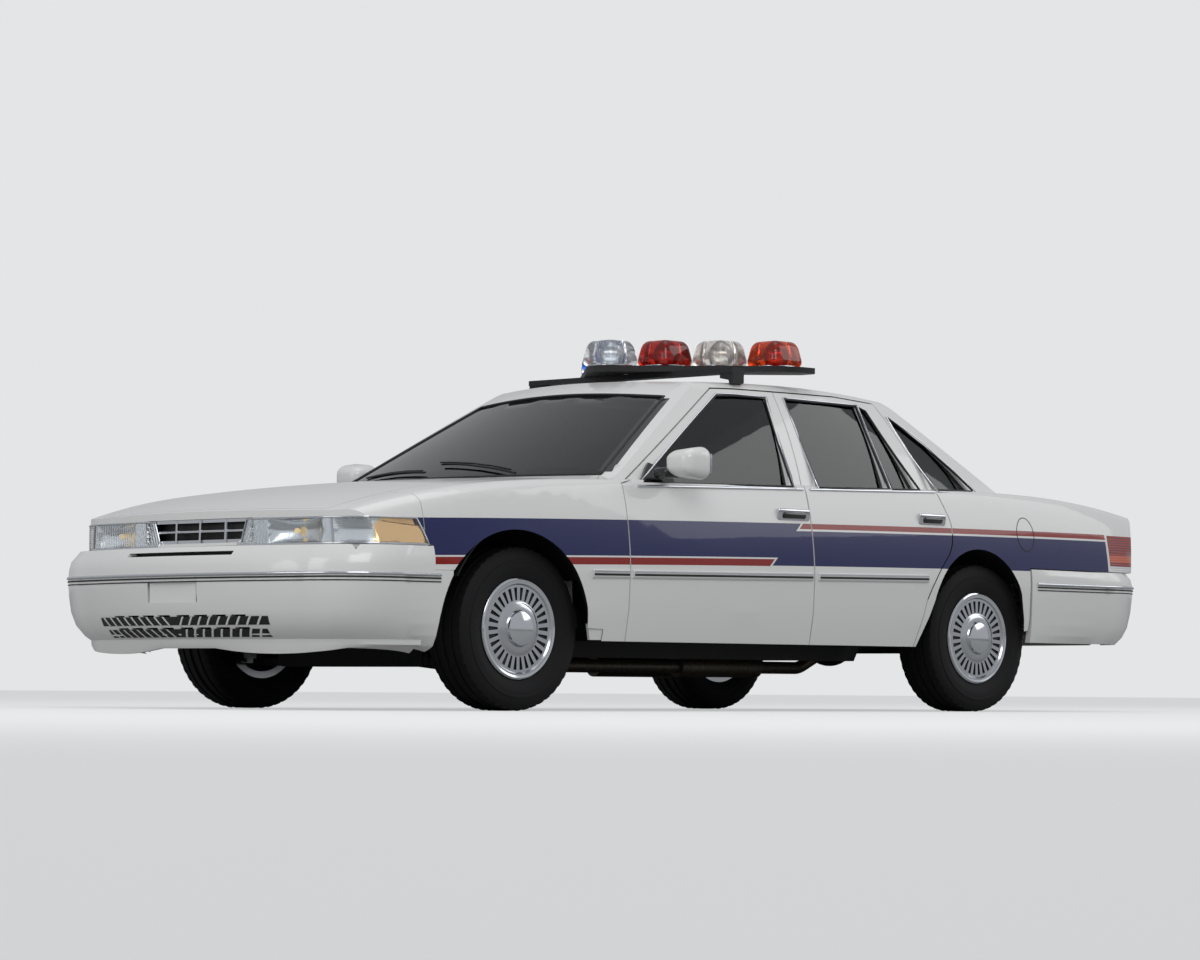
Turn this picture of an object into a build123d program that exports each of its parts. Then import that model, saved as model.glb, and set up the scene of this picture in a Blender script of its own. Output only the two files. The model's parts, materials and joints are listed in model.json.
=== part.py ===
from build123d import *
import os
from math import cos, sin, radians

# A full-size four-door police patrol car of the mid 1990s with a V-shaped light bar.
# Millimetres. X points forward, Y to the car's left and Z up. The origin is on the ground,
# under the middle of the car's length.

# Overall sizes
LENGTH = 5385
HALF_WIDTH = 988
MOULDING_STAND = 8
BODY_HALF = HALF_WIDTH - MOULDING_STAND
FRONT_AXLE_X = 1600
WHEELBASE = 2906
REAR_AXLE_X = FRONT_AXLE_X - WHEELBASE
TRACK_FRONT = 1595
TRACK_REAR = 1608
NOSE_X = LENGTH / 2
TAIL_X = -LENGTH / 2

# Wheels and tyres
TYRE_RADIUS = 335
TYRE_WIDTH = 225
RIM_RADIUS = 190
COVER_RADIUS = 207
COVER_SLOTS = 30

# Clearances
DOOR_GAP = 7
LID_GAP = 5
PANEL_GAP = 3
SEAT_GAP = 0.3
SKIN = 25

# Body side: heights that the whole side shares, and how far each line stands in from the widest one
SILL_Z = 290
SILL_IN = 32
CREASE_Z = 425
CREASE_IN = 8
WIDEST_Z = 580
WALL_Y = 865
SIDE_BULGE = 12
SHOULDER_BULGE = 9

# x, widest half width, belt z, belt y, shoulder edge z, shoulder edge y, crown z
BODY_STATIONS = (
    (2640, BODY_HALF - 120, 700, 838, 738, 780, 770),
    (2300, BODY_HALF - 62, 795, 890, 838, 822, 870),
    (1950, BODY_HALF - 20, 868, 925, 905, 850, 930),
    (1600, BODY_HALF - 5, 910, 934, 942, 866, 965),
    (1100, BODY_HALF, 935, 930, 966, 884, 990),
    (300, BODY_HALF, 950, 926, 980, 884, 998),
    (-500, BODY_HALF, 966, 924, 994, 882, 1010),
    (-1200, BODY_HALF - 4, 976, 918, 1003, 874, 1018),
    (-1700, BODY_HALF - 16, 970, 905, 1000, 856, 1018),
    (-2200, BODY_HALF - 46, 940, 876, 970, 820, 990),
    (-2680, BODY_HALF - 100, 875, 826, 908, 766, 926),
)

# Nose and tail in plan: centre x, corner start (x, y) and side end (x, y)
NOSE_FACE_X = 2555
NOSE_CORNER = (2500, 700)
NOSE_SIDE = (2120, 962)
TAIL_FACE_X = -2622
TAIL_CORNER = (-2585, 640)
TAIL_SIDE = (-2230, 960)
TAIL_TOP = (-2450, 958)
TAIL_EDGE = (-2600, 850)

# Greenhouse: x, foot y, cant rail y, cant rail z, roof edge y, roof edge z, crown z
GLASSHOUSE_FOOT_Z = 900
GLASSHOUSE_STATIONS = (
    (1450, 870, 560, 1300, 480, 1345, 1372),
    (950, 912, 606, 1352, 525, 1398, 1418),
    (350, 930, 640, 1382, 552, 1430, 1448),
    (-300, 934, 660, 1396, 566, 1446, 1465),
    (-950, 920, 655, 1366, 558, 1412, 1434),
    (-1800, 870, 585, 1290, 500, 1330, 1352),
)
SIDE_GLASS_BULGE = 12
RAIL_BULGE = 16
PILLAR_WALL = 40
ROOF_WALL = 25

# Windscreen and rear window: plan arc at one height, and how far it runs back for each unit of height
SCREEN_Z = 975
SCREEN_X = 1270
SCREEN_SWEEP = 280
SCREEN_HALF = 880
SCREEN_RAKE = 1.924
BACKLIGHT_Z = 1010
BACKLIGHT_X = -1680
BACKLIGHT_SWEEP = 150
BACKLIGHT_HALF = 800
BACKLIGHT_RAKE = 1.6
FRAME_DEPTH = 60
SCREEN_DEPTH = 12

# Doors: hinge lines stand upright just inside the skin
HINGE_Y = BODY_HALF - 5
HINGE_BACK = 41
FRONT_DOOR_X = 1036
MID_DOOR_X = -112
FRONT_HINGE_X = FRONT_DOOR_X - HINGE_BACK
REAR_HINGE_X = MID_DOOR_X - HINGE_BACK
DOOR_TOP_Z = 1408
# rear edges of the doors, as the radius from the hinge line at each height
FRONT_DOOR_REACH = ((0, 200), (1100, 200), (1100, 960), (1224, 1408), (1236, 1450), (0, 1450))

# Wheel arches
ARCH_FRONT = (1680, 320, 415)
ARCH_REAR_TOP = (-1248, 737)
ARCH_REAR_FRONT = (-925, 500)
ARCH_REAR_BACK = (-1548, 540)
ARCH_REAR_FOOT_FRONT = (-775, 200)
ARCH_REAR_FOOT_BACK = (-1618, 200)
WELL_FRONT_RADIUS = 436
WELL_REAR_RADIUS = 400
WELL_FRONT_INNER_Y = 455
WELL_REAR_INNER_Y = 640
WELL_OUTER_Y = 956
LINER = 5


def save(shape, name):
    """Write one node; like pieces on one body go in as separate solids."""
    if isinstance(shape, (list, tuple)):
        shape = Compound(children=[s for item in shape for s in item.solids()])
    export_step(shape, f"parts/{name}.step")


def mirrored(shape):
    return shape.mirror(Plane.XZ)


def block(x0, x1, y0, y1, z0, z1):
    """A box between two corners."""
    return Pos((x0 + x1) / 2, (y0 + y1) / 2, (z0 + z1) / 2) * Box(abs(x1 - x0), abs(y1 - y0), abs(z1 - z0))


def bulged(p, q, bulge):
    """An arc from p to q across a plane of constant x, standing out to the right of its path."""
    p = Vector(p)
    q = Vector(q)
    run = q - p
    side = Vector(0, run.Z, -run.Y).normalized()
    return ThreePointArc(p, (p + q) / 2 + side * bulge, q)


def push(outline, run):
    """A solid from a closed flat outline, pushed along run whichever way the outline faces."""
    face = make_face(outline).face()
    run = Vector(run)
    if face.normal_at().dot(run) < 0:
        face = -face
    return Solid.extrude(face, run)


def side_prism(points, y0, y1):
    """A polygon of (x, z) points pushed from y0 to y1."""
    return push(Polyline(*[(x, y0, z) for x, z in points], close=True), (0, y1 - y0, 0))


def plan_prism(points, z0, z1):
    """A polygon of (x, y) points pushed from z0 to z1."""
    return push(Polyline(*[(x, y, z0) for x, y in points], close=True), (0, 0, z1 - z0))


def front_prism(points, x0, x1):
    """A polygon of (y, z) points pushed from x0 to x1."""
    return push(Polyline(*[(x0, y, z) for y, z in points], close=True), (x1 - x0, 0, 0))


def tube_y(x, z, radius, y0, y1):
    """A round bar along Y."""
    return Pos(x, (y0 + y1) / 2, z) * Rot(90, 0, 0) * Cylinder(radius, abs(y1 - y0))


def body_wire(x, widest, belt_z, belt_y, edge_z, edge_y, crown_z, inset):
    """The lower body's outline across the car at x, drawn in by inset."""
    sill = (x, widest - SILL_IN - inset, SILL_Z)
    crease = (x, widest - CREASE_IN - inset, CREASE_Z)
    side = (x, widest - inset, WIDEST_Z)
    belt = (x, belt_y - inset, belt_z - inset / 2)
    edge = (x, edge_y - inset, edge_z - inset)
    left = [
        Line(sill, crease),
        Line(crease, side),
        bulged(side, belt, SIDE_BULGE),
        bulged(belt, edge, SHOULDER_BULGE),
    ]
    right = [e.mirror(Plane.XZ) for e in left]
    crown = ThreePointArc(edge, (x, 0, crown_z - inset), (x, -edge[1], edge[2]))
    floor = Line((x, -sill[1], SILL_Z), sill)
    return Wire([floor, *left, crown, *right[::-1]])


def body_loft(inset=0):
    return Solid.make_loft([body_wire(*row, inset) for row in BODY_STATIONS])


def glasshouse_wire(x, foot_y, cant_y, cant_z, edge_y, edge_z, crown_z, inset, top_inset, foot_z):
    """The greenhouse's outline across the car at x."""
    foot = (x, foot_y - inset, foot_z)
    cant = (x, cant_y - inset * 0.93, cant_z - inset * 0.37)
    edge = (x, edge_y - inset * 0.37, edge_z - top_inset)
    left = [bulged(foot, cant, SIDE_GLASS_BULGE), bulged(cant, edge, RAIL_BULGE)]
    right = [e.mirror(Plane.XZ) for e in left]
    crown = ThreePointArc(edge, (x, 0, crown_z - top_inset), (x, -edge[1], edge[2]))
    floor = Line((x, -foot[1], foot_z), foot)
    return Wire([floor, *left, crown, *right[::-1]])


def glasshouse_loft(inset, top_inset, foot_z=GLASSHOUSE_FOOT_Z):
    rows = [glasshouse_wire(*row, inset, top_inset, foot_z) for row in GLASSHOUSE_STATIONS]
    return Solid.make_loft(rows)


def raked_block(face_x, at_z, sweep, half, rake, forward, shift=0.0, z0=850, z1=1600):
    """All that lies before (or behind) a raked, bowed screen."""
    sign = 1 if forward else -1
    x = face_x + shift + sign * rake * (at_z - z0)
    wide = half * 1.3
    bow = sweep * 1.69
    far = x + sign * 2200
    arc = ThreePointArc((x - sign * bow, wide, z0), (x, 0, z0), (x - sign * bow, -wide, z0))
    rest = Polyline((x - sign * bow, -wide, z0), (far, -wide, z0), (far, wide, z0), (x - sign * bow, wide, z0))
    return push([arc, *rest.edges()], (-sign * rake * (z1 - z0), 0, z1 - z0))


def screen_cut(shift=0.0):
    return raked_block(SCREEN_X, SCREEN_Z, SCREEN_SWEEP, SCREEN_HALF, SCREEN_RAKE, True, shift)


def backlight_cut(shift=0.0):
    return raked_block(BACKLIGHT_X, BACKLIGHT_Z, BACKLIGHT_SWEEP, BACKLIGHT_HALF, BACKLIGHT_RAKE, False, shift)


def trimmed_glasshouse(inset, top_inset, depth, foot_z=GLASSHOUSE_FOOT_Z):
    """The greenhouse between its two screens, each drawn in by depth along X."""
    house = glasshouse_loft(inset, top_inset, foot_z)
    return house - screen_cut(-depth) - backlight_cut(depth)


def end_outline(face_x, corner, side, back_x, z0, z1, forward):
    """A rounded end in plan: a shallow bow, two corner arcs and straight sides."""
    sign = 1 if forward else -1
    (cx, cy), (sx, sy) = corner, side
    mid = (sx + 0.74 * (cx - sx), cy + 0.70 * (sy - cy))
    bow = ThreePointArc((cx, cy, z0), (face_x, 0, z0), (cx, -cy, z0))
    left = ThreePointArc((sx, sy, z0), (*mid, z0), (cx, cy, z0))
    right = ThreePointArc((cx, -cy, z0), (mid[0], -mid[1], z0), (sx, -sy, z0))
    rest = Polyline((sx, -sy, z0), (sx, -1100, z0), (back_x, -1100, z0), (back_x, 1100, z0), (sx, 1100, z0), (sx, sy, z0))
    return push([left, bow, right, *rest.edges()], (0, 0, z1 - z0))


def tail_cut(shift=0):
    """What is rounded off above and behind the boot's edge."""
    y = -1100
    top_x, top_z = TAIL_TOP
    edge_x, edge_z = TAIL_EDGE
    cut = push([
        ThreePointArc((top_x, y, top_z), (-2555, y, 925), (edge_x, y, edge_z)),
        *Polyline((edge_x, y, edge_z), (edge_x - 25, y, 600), (-2800, y, 600), (-2800, y, 1200),
                  (top_x, y, 1200), (top_x, y, top_z)).edges(),
    ], (0, 2200, 0))
    return Pos(shift, 0, -shift) * cut


def make_body():
    """The whole painted shell: rounded ends, greenhouse and hollow bays."""
    lower = body_loft()
    lower &= end_outline(NOSE_FACE_X, NOSE_CORNER, NOSE_SIDE, -2700, 100, 1300, True)
    lower &= end_outline(TAIL_FACE_X, TAIL_CORNER, TAIL_SIDE, 2700, 100, 1300, False)
    lower -= tail_cut()
    house = trimmed_glasshouse(0, 0, 0)
    whole = lower + house
    cabin = block(-1450, 1150, -WALL_Y, WALL_Y, 0, 930)
    under_skin = body_loft(SKIN)
    engine_bay = block(1190, 2390, -WALL_Y, WALL_Y, 0, 1100) & (under_skin + block(1190, 2390, -WALL_Y, WALL_Y, 0, 300))
    boot = block(-2500, -1760, -800, 800, 0, 1100) & (under_skin + block(-2500, -1760, -800, 800, 0, 300))
    seat_well = block(-1770, -1500, -800, 800, 0, 890)
    inner_house = trimmed_glasshouse(PILLAR_WALL, ROOF_WALL, FRAME_DEPTH, 925)
    return whole - cabin - engine_bay - boot - seat_well - inner_house


def arch_cuts():
    """The openings in the skin and the wells behind them, left side."""
    ax, az, ar = ARCH_FRONT
    front = tube_y(ax, az, ar, 600, 1100)
    front_well = tube_y(FRONT_AXLE_X + 10, TYRE_RADIUS, WELL_FRONT_RADIUS, WELL_FRONT_INNER_Y, WELL_OUTER_Y)
    rear = push([
        ThreePointArc(*[(x, 600, z) for x, z in (ARCH_REAR_FRONT, ARCH_REAR_TOP, ARCH_REAR_BACK)]),
        *Polyline(*[(x, 600, z) for x, z in (ARCH_REAR_BACK, ARCH_REAR_FOOT_BACK, ARCH_REAR_FOOT_FRONT,
                                              ARCH_REAR_FRONT)]).edges(),
    ], (0, 500, 0))
    rear_well = tube_y(REAR_AXLE_X + 16, TYRE_RADIUS + 20, WELL_REAR_RADIUS, WELL_REAR_INNER_Y, WELL_OUTER_Y - 6)
    return front, front_well, rear, rear_well


def swing_solid(hinge_x, reach, grow=0.0):
    """What a door of the given reach sweeps: its rear edge turned about the hinge line."""
    points = [(hinge_x + r + (grow if r else 0), HINGE_Y, z) for r, z in reach]
    face = make_face(Polyline(*points, close=True))
    axis = Axis((hinge_x, HINGE_Y, 0), (0, 0, 1))
    return revolve(face, axis, 360).solid()


def rear_door_reach(grow=0.0):
    """Rear edge of the rear door, curved over the wheel arch, turned about its hinge line."""
    def at(r, z):
        return (REAR_HINGE_X + r + grow, HINGE_Y, z)
    centre_top = (REAR_HINGE_X, HINGE_Y, 1450)
    centre_foot = (REAR_HINGE_X, HINGE_Y, 200)
    edges = [
        Line(centre_foot, at(620, 200)),
        Line(at(620, 200), at(714, 499)),
        ThreePointArc(at(714, 499), at(778, 602), at(866, 701)),
        ThreePointArc(at(866, 701), at(906, 795), at(882, 905)),
        Line(at(882, 905), at(844, 985)),
        Line(at(844, 985), at(786, 1408)),
        Line(at(786, 1408), at(780, 1450)),
        Line(at(780, 1450), centre_top),
        Line(centre_top, centre_foot),
    ]
    axis = Axis((REAR_HINGE_X, HINGE_Y, 0), (0, 0, 1))
    return revolve(make_face(edges), axis, 360).solid()


def door_tools():
    """Left door outlines, and the larger holes that they leave in the body."""
    # side view of each door: front edge, then over the window frame
    front = side_prism(((FRONT_DOOR_X, 200), (FRONT_DOOR_X, 948), (968, 962), (195, DOOR_TOP_Z - 4),
                        (60, DOOR_TOP_Z), (-400, DOOR_TOP_Z), (-400, 200)), 500, 1100)
    rear = side_prism(((MID_DOOR_X, 200), (MID_DOOR_X, 962), (MID_DOOR_X - 76, DOOR_TOP_Z),
                       (-600, DOOR_TOP_Z), (-1000, DOOR_TOP_Z - 26), (-1300, DOOR_TOP_Z - 60), (-1300, 200)), 500, 1100)
    front_hole = side_prism(((FRONT_DOOR_X + 5, 150), (FRONT_DOOR_X + 5, 951), (973, 967), (197, DOOR_TOP_Z + 2),
                             (60, DOOR_TOP_Z + 6), (-400, DOOR_TOP_Z + 6), (-400, 150)), 500, 1100)
    rear_hole = side_prism(((MID_DOOR_X + 30, 150), (MID_DOOR_X + 30, DOOR_TOP_Z + 6), (-600, DOOR_TOP_Z + 6),
                            (-1000, DOOR_TOP_Z - 20), (-1300, DOOR_TOP_Z - 54), (-1300, 150)), 500, 1100)
    front &= swing_solid(FRONT_HINGE_X, FRONT_DOOR_REACH)
    front_hole &= swing_solid(FRONT_HINGE_X, FRONT_DOOR_REACH, DOOR_GAP)
    rear = (rear & rear_door_reach()) - swing_solid(FRONT_HINGE_X, FRONT_DOOR_REACH, DOOR_GAP)
    rear_hole &= rear_door_reach(DOOR_GAP)
    knuckle_round = Pos(FRONT_HINGE_X, HINGE_Y, 625) * Cylinder(HINGE_BACK + 6, 900)
    return front, rear, front_hole + knuckle_round, rear_hole


os.makedirs("parts", exist_ok=True)

whole_body = make_body()
under_skin = body_loft(SKIN)
front_arch, front_well, rear_arch, rear_well = arch_cuts()
left_body = (whole_body & block(-3000, 3000, 0, 1200, 0, 1700)) - front_arch - front_well - rear_arch - rear_well
front_door_tool, rear_door_tool, front_door_hole, rear_door_hole = door_tools()

# Bonnet: a thin lid with straight sides, hinged along its rear edge
BONNET_REAR_X = 1352
BONNET_FRONT_X = 2528
BONNET_REAR_Y = 748
BONNET_FRONT_Y = 700
BONNET_BOW = 52


def bonnet_plan(grow):
    """The bonnet's outline from above, larger by grow."""
    front = BONNET_FRONT_X + grow
    rear = BONNET_REAR_X - grow
    y_front = BONNET_FRONT_Y + grow
    y_rear = BONNET_REAR_Y + grow
    bow = ThreePointArc((front - BONNET_BOW, y_front, 600), (front, 0, 600), (front - BONNET_BOW, -y_front, 600))
    rest = Polyline((front - BONNET_BOW, -y_front, 600), (rear, -y_rear, 600), (rear, y_rear, 600),
                    (front - BONNET_BOW, y_front, 600))
    return push([bow, *rest.edges()], (0, 0, 600))


bonnet = (whole_body & bonnet_plan(0)) - under_skin
save(bonnet, "bonnet")
bonnet_hole = bonnet_plan(LID_GAP) - body_loft(SKIN + LID_GAP)

# Boot lid: deck and the upright rear face between the lamps
LID_FRONT_X = -1745
LID_HALF = 700
LID_FACE_HALF = 505
LID_FOOT_Z = 668
LAMP_TOP_Z = 832


def lid_tool(grow):
    """The boot lid's outline, larger by grow."""
    deck = block(-2800, LID_FRONT_X + grow, -LID_HALF - grow, LID_HALF + grow, LAMP_TOP_Z + 4 - grow, 1200)
    face = block(-2800, -2400, -LID_FACE_HALF - grow, LID_FACE_HALF + grow, LID_FOOT_Z - grow, LAMP_TOP_Z + 30)
    return deck + face


lid_core = (under_skin & block(-2592, -1700, -900, 900, 0, 1200)) - tail_cut(SKIN)
boot_lid = (whole_body & lid_tool(0)) - lid_core
save(boot_lid, "boot_lid")
lid_hole = lid_tool(LID_GAP) - (under_skin & block(-2560, -1700, -640, 640, 0, 860))

# Front wings
NOSE_SPLIT_X = 2160
COWL_HALF = 790
BUMPER_TOP_Z = 655
STRIP_TOP_Z = 562
wing_zone = block(FRONT_DOOR_X + 5, NOSE_SPLIT_X, COWL_HALF, 1100, 200, 1100) + block(
    BONNET_REAR_X, NOSE_SPLIT_X, 600, COWL_HALF, 700, 1100)
wing = (left_body & wing_zone) - front_door_hole - bonnet_hole
wing -= block(2128, 2300, 500, 1100, 0, BUMPER_TOP_Z + 4) + block(1980, 2300, 500, 1100, 0, STRIP_TOP_Z)
wing -= block(FRONT_DOOR_X, 1130, 700, 880, 0, 1100)
save([wing, mirrored(wing)], "front_wings")

# Cowl and firewall between the wings
cowl = (whole_body & block(FRONT_DOOR_X + 5, BONNET_REAR_X - LID_GAP, -COWL_HALF, COWL_HALF, 200, 1010))
cowl &= block(1000, 1400, -COWL_HALF, COWL_HALF, 345, 1100)
cowl -= block(1000, 1250, -180, 180, 300, 520)

# Header panel round the lamps and the grille
LAMP_INNER_Y = 398
LAMP_SPLIT_Y = 702
GRILLE_HALF = 335
GRILLE_Z0 = 672
GRILLE_Z1 = 770
nose = (whole_body & block(NOSE_SPLIT_X + PANEL_GAP, 2700, -1100, 1100, BUMPER_TOP_Z + 5, 1100)) - bonnet_hole
lamp_tool = side_prism(((2150, 668), (2620, 661), (2620, 770), (2520, 767), (2150, 731)), LAMP_INNER_Y, 1100)
lamp_core = plan_prism(((2100, 862), (2290, 838), (2400, 740), (2462, 560), (2478, 380), (2100, 380)), 600, 800)
lamp_unit = (nose & lamp_tool) - lamp_core
header = nose - lamp_tool - mirrored(lamp_tool) - block(2300, 2620, -GRILLE_HALF, GRILLE_HALF, GRILLE_Z0, GRILLE_Z1)
header -= block(2000, 2400, -780, 780, 600, 900)
save(header, "header_panel")
lamp_unit -= block(2000, 2700, LAMP_SPLIT_Y - 1.5, LAMP_SPLIT_Y + 1.5, 600, 800)
save([lamp_unit, mirrored(lamp_unit)], "headlamps")

# Grille: a frame with a middle bar and thin uprights
GRILLE_BARS = 4
grille_x = NOSE_FACE_X - 6
grille = block(grille_x - 26, grille_x - 14, -GRILLE_HALF + 1, GRILLE_HALF - 1, GRILLE_Z0 + 1, GRILLE_Z1 - 1)
bar_pitch = 2 * (GRILLE_HALF - 16) / GRILLE_BARS
bar_height = (GRILLE_Z1 - GRILLE_Z0 - 36) / 2
for row in range(2):
    for i in range(GRILLE_BARS):
        y = -GRILLE_HALF + 16 + (i + 0.5) * bar_pitch
        z = GRILLE_Z0 + 14 + bar_height / 2 + row * (bar_height + 8)
        grille -= block(grille_x - 40, grille_x, y - bar_pitch / 2 + 3, y + bar_pitch / 2 - 3,
                        z - bar_height / 2, z + bar_height / 2)
save(grille, "grille")

# Screens: outlines seen from the front, and the layers of the greenhouse that they pass through
ROOF_SPLIT_Y = 565
SCREEN_FRAME = ((-800, 992), (-578, 1362), (578, 1362), (800, 992))
BACK_FRAME = ((-715, 1022), (-548, 1345), (548, 1345), (715, 1022))


def screen_outline(points, top_z, bottom_z, x0, x1):
    """A screen's outline from the front, with bowed top and bottom edges, pushed from x0 to x1."""
    (a, b, c, d) = [(x0, y, z) for y, z in points]
    outline = [Line(a, b), ThreePointArc(b, (x0, 0, top_z), c), Line(c, d), ThreePointArc(d, (x0, 0, bottom_z), a)]
    return push(outline, (x1 - x0, 0, 0))


screen_tool = screen_outline(SCREEN_FRAME, 1388, 990, 200, 1500)
screen_hole = screen_tool & (screen_cut(-FRAME_DEPTH - 60) - screen_cut(60))
back_tool = screen_outline(BACK_FRAME, 1372, 1026, -2000, -900)
back_hole = back_tool & (backlight_cut(FRAME_DEPTH + 60) - backlight_cut(-60))

# Side frames: sill, pillars, cant rail and rear quarter, one each side
QUARTER_END_Z = BUMPER_TOP_Z + 5
lamp_rear_tool = side_prism(((-2262, 668), (-2262, LAMP_TOP_Z), (-2800, LAMP_TOP_Z), (-2800, 662)), LID_FACE_HALF + 10, 1100)
lamp_rear_core = plan_prism(((-2200, 845), (-2400, 800), (-2500, 700), (-2545, 400), (-2200, 400)), 600, 900)
side_zone = block(-2700, FRONT_DOOR_X + 4, 780, 1100, 200, 1100) + block(
    LID_FRONT_X, FRONT_DOOR_X + 4, ROOF_SPLIT_Y, 1100, 925, 1700) + block(-2700, LID_FRONT_X, LID_HALF + LID_GAP, 1100, 660, 1100)
side = (left_body & side_zone) - front_door_hole - rear_door_hole - lid_hole - lamp_rear_tool
side -= block(-2800, -1612, 700, 1100, 0, QUARTER_END_Z)
hinge_post = block(FRONT_DOOR_X + 8, 1128, 770, 850, SILL_Z + 6, 925)
sill_box = block(-800, FRONT_DOOR_X + 8, 770, 850, SILL_Z + 6, 392)
post_mid = block(-205, -75, 790, 850, 392, 940)
gusset = side_prism(((1128, 900), (1128, 955), (1041, 972), (950, 1034), (890, 1034), (1010, 900)), 792, 814)
gusset += block(1044, 1128, 792, 814, 880, 925)
post_zone = side_prism(((-190, 931), (-60, 931), (-120, 1480), (-235, 1480)), ROOF_SPLIT_Y + 1, 1000)
post_upper = (trimmed_glasshouse(56, 50, 0, 925) - trimmed_glasshouse(92, 60, 0, 900)) & post_zone
post_cap = (trimmed_glasshouse(38, 24, 0, 925) - trimmed_glasshouse(92, 60, 0, 900)) & post_zone
post_cap &= block(-300, 0, 500, 1000, DOOR_TOP_Z + 6, 1500)
for piece in (hinge_post, sill_box, post_mid, gusset, post_upper, post_cap):
    side += piece
side = side - screen_hole - back_hole

# Windows, side view outlines
FRONT_PANE = ((905, 958), (182, 1372), (60, 1377), (-122, 1378), (-32, 978))
REAR_PANE = ((-205, 980), (-246, 1378), (-724, 1372), (-686, 992))
VENT_PANE = ((-702, 992), (-742, 1370), (-786, 1352), (-898, 998))
QUARTER_PANE = ((-1024, 1002), (-928, 1330), (-985, 1300), (-1120, 1210), (-1240, 1100), (-1308, 1012), (-1290, 1006))
pane_skin = trimmed_glasshouse(9, 9, 0, 880) - trimmed_glasshouse(14, 14, -5, 860)
windows = {name: side_prism(points, 450, 1100) for name, points in
           (("front", FRONT_PANE), ("rear", REAR_PANE), ("vent", VENT_PANE), ("quarter", QUARTER_PANE))}
side -= windows["quarter"]
save(side, "side_frame_left")
save(mirrored(side), "side_frame_right")

# Doors with their panes
front_door = (left_body & front_door_tool) - windows["front"]
rear_door = (left_body & rear_door_tool) - windows["rear"] - windows["vent"]
panes = {name: pane_skin & tool for name, tool in windows.items()}
for hand in ("left", "right"):
    def flip(shape):
        return shape if hand == "left" else mirrored(shape)
    save(flip(front_door), f"front_door_{hand}")
    save(flip(rear_door), f"rear_door_{hand}")
    save(flip(panes["front"]), f"front_door_glass_{hand}")
    save([flip(panes["rear"]), flip(panes["vent"])], f"rear_door_glass_{hand}")
save([panes["quarter"], mirrored(panes["quarter"])], "quarter_glass")

# Roof panel, and the shelf and bulkhead behind the rear seat
roof = whole_body & block(-1760, 1300, -ROOF_SPLIT_Y, ROOF_SPLIT_Y, 1290, 1700)
roof = roof - screen_hole - back_hole
save(roof, "roof_panel")
save(cowl - screen_hole, "cowl_firewall")
shelf = whole_body & (block(LID_FRONT_X + LID_GAP, -1430, -780, 780, 600, 925)
                      + block(LID_FRONT_X + LID_GAP, -1200, -ROOF_SPLIT_Y, ROOF_SPLIT_Y, 890, 1100))
shelf = shelf - back_hole - rear_well - mirrored(rear_well)
save(shelf, "rear_shelf")
screen_skin = glasshouse_loft(0.5, 0.5) & (screen_cut(-2 - SCREEN_DEPTH) - screen_cut(-2))
save(screen_skin & screen_tool, "windscreen")
back_skin = glasshouse_loft(0.5, 0.5) & (backlight_cut(2 + SCREEN_DEPTH) - backlight_cut(2))
save(back_skin & back_tool, "rear_window")

# Tail lamps and the panel between them
tail_end = whole_body & block(-2700, -2262, -1100, 1100, 300, 1100)
lamp_rear = (tail_end & lamp_rear_tool) - lamp_rear_core
save([lamp_rear, mirrored(lamp_rear)], "tail_lamps")
rear_panel = tail_end & block(-2560, -2490, -650, 650, 400, QUARTER_END_Z - 1)
save(rear_panel - lamp_rear_tool - mirrored(lamp_rear_tool), "rear_panel")

# Bumpers: z, face x, corner x, corner y, side end y
FRONT_BUMPER = (
    (228, 2500, 2420, 560, 820),
    (258, 2588, 2506, 610, 872),
    (300, 2640, 2556, 640, 908),
    (345, 2668, 2584, 672, 932),
    (400, 2684, 2598, 690, 948),
    (470, 2690, 2604, 698, 958),
    (535, NOSE_X, 2606, 700, 962),
    (575, 2689, 2602, 700, 962),
    (610, 2680, 2592, 698, 960),
    (BUMPER_TOP_Z, 2640, 2554, 690, 945),
)
REAR_BUMPER = (
    (318, -2622, -2540, 630, 890),
    (352, -2650, -2568, 648, 912),
    (400, -2670, -2588, 662, 928),
    (470, -2682, -2598, 674, 940),
    (540, -2689, -2605, 680, 945),
    (590, TAIL_X, -2608, 680, 946),
    (628, -2684, -2598, 678, 940),
    (BUMPER_TOP_Z, -2660, -2574, 670, 926),
)
BUMPER_WALL = 26


def bumper_wire(z, face_x, corner_x, corner_y, side_y, start, side_run, inset, stretch):
    """A bumper's outline from above at one height, drawn in by inset."""
    sign = 1 if face_x > 0 else -1
    fx = face_x - sign * inset
    cx = corner_x - sign * inset
    cy = corner_y - inset / 2
    sy = side_y - inset
    sx = corner_x - sign * side_run
    x0 = start[0] - sign * stretch
    y0 = start[1] - (962 - side_y) * 0.3 - inset
    mid = (sx + 0.74 * (cx - sx), cy + 0.70 * (sy - cy))
    return Wire([
        Line((x0, -y0, z), (x0, y0, z)),
        Line((x0, y0, z), (sx, sy, z)),
        ThreePointArc((sx, sy, z), (*mid, z), (cx, cy, z)),
        ThreePointArc((cx, cy, z), (fx, 0, z), (cx, -cy, z)),
        ThreePointArc((cx, -cy, z), (mid[0], -mid[1], z), (sx, -sy, z)),
        Line((sx, -sy, z), (x0, -y0, z)),
    ])


def bumper_shell(rows, start, side_run):
    """A hollow bumper cover, open behind and below."""
    outer = Solid.make_loft([bumper_wire(*row, start, side_run, 0, 0) for row in rows], ruled=True)
    inner_rows = [(row[0] - 8, *row[1:]) for row in rows]
    inner_rows[0] = (rows[0][0] - 30, *rows[0][1:])
    inner_rows[-1] = (rows[-1][0] - BUMPER_WALL, *rows[-1][1:])
    inner = Solid.make_loft([bumper_wire(*row, start, side_run, BUMPER_WALL, 60) for row in inner_rows], ruled=True)
    return outer - inner


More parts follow.
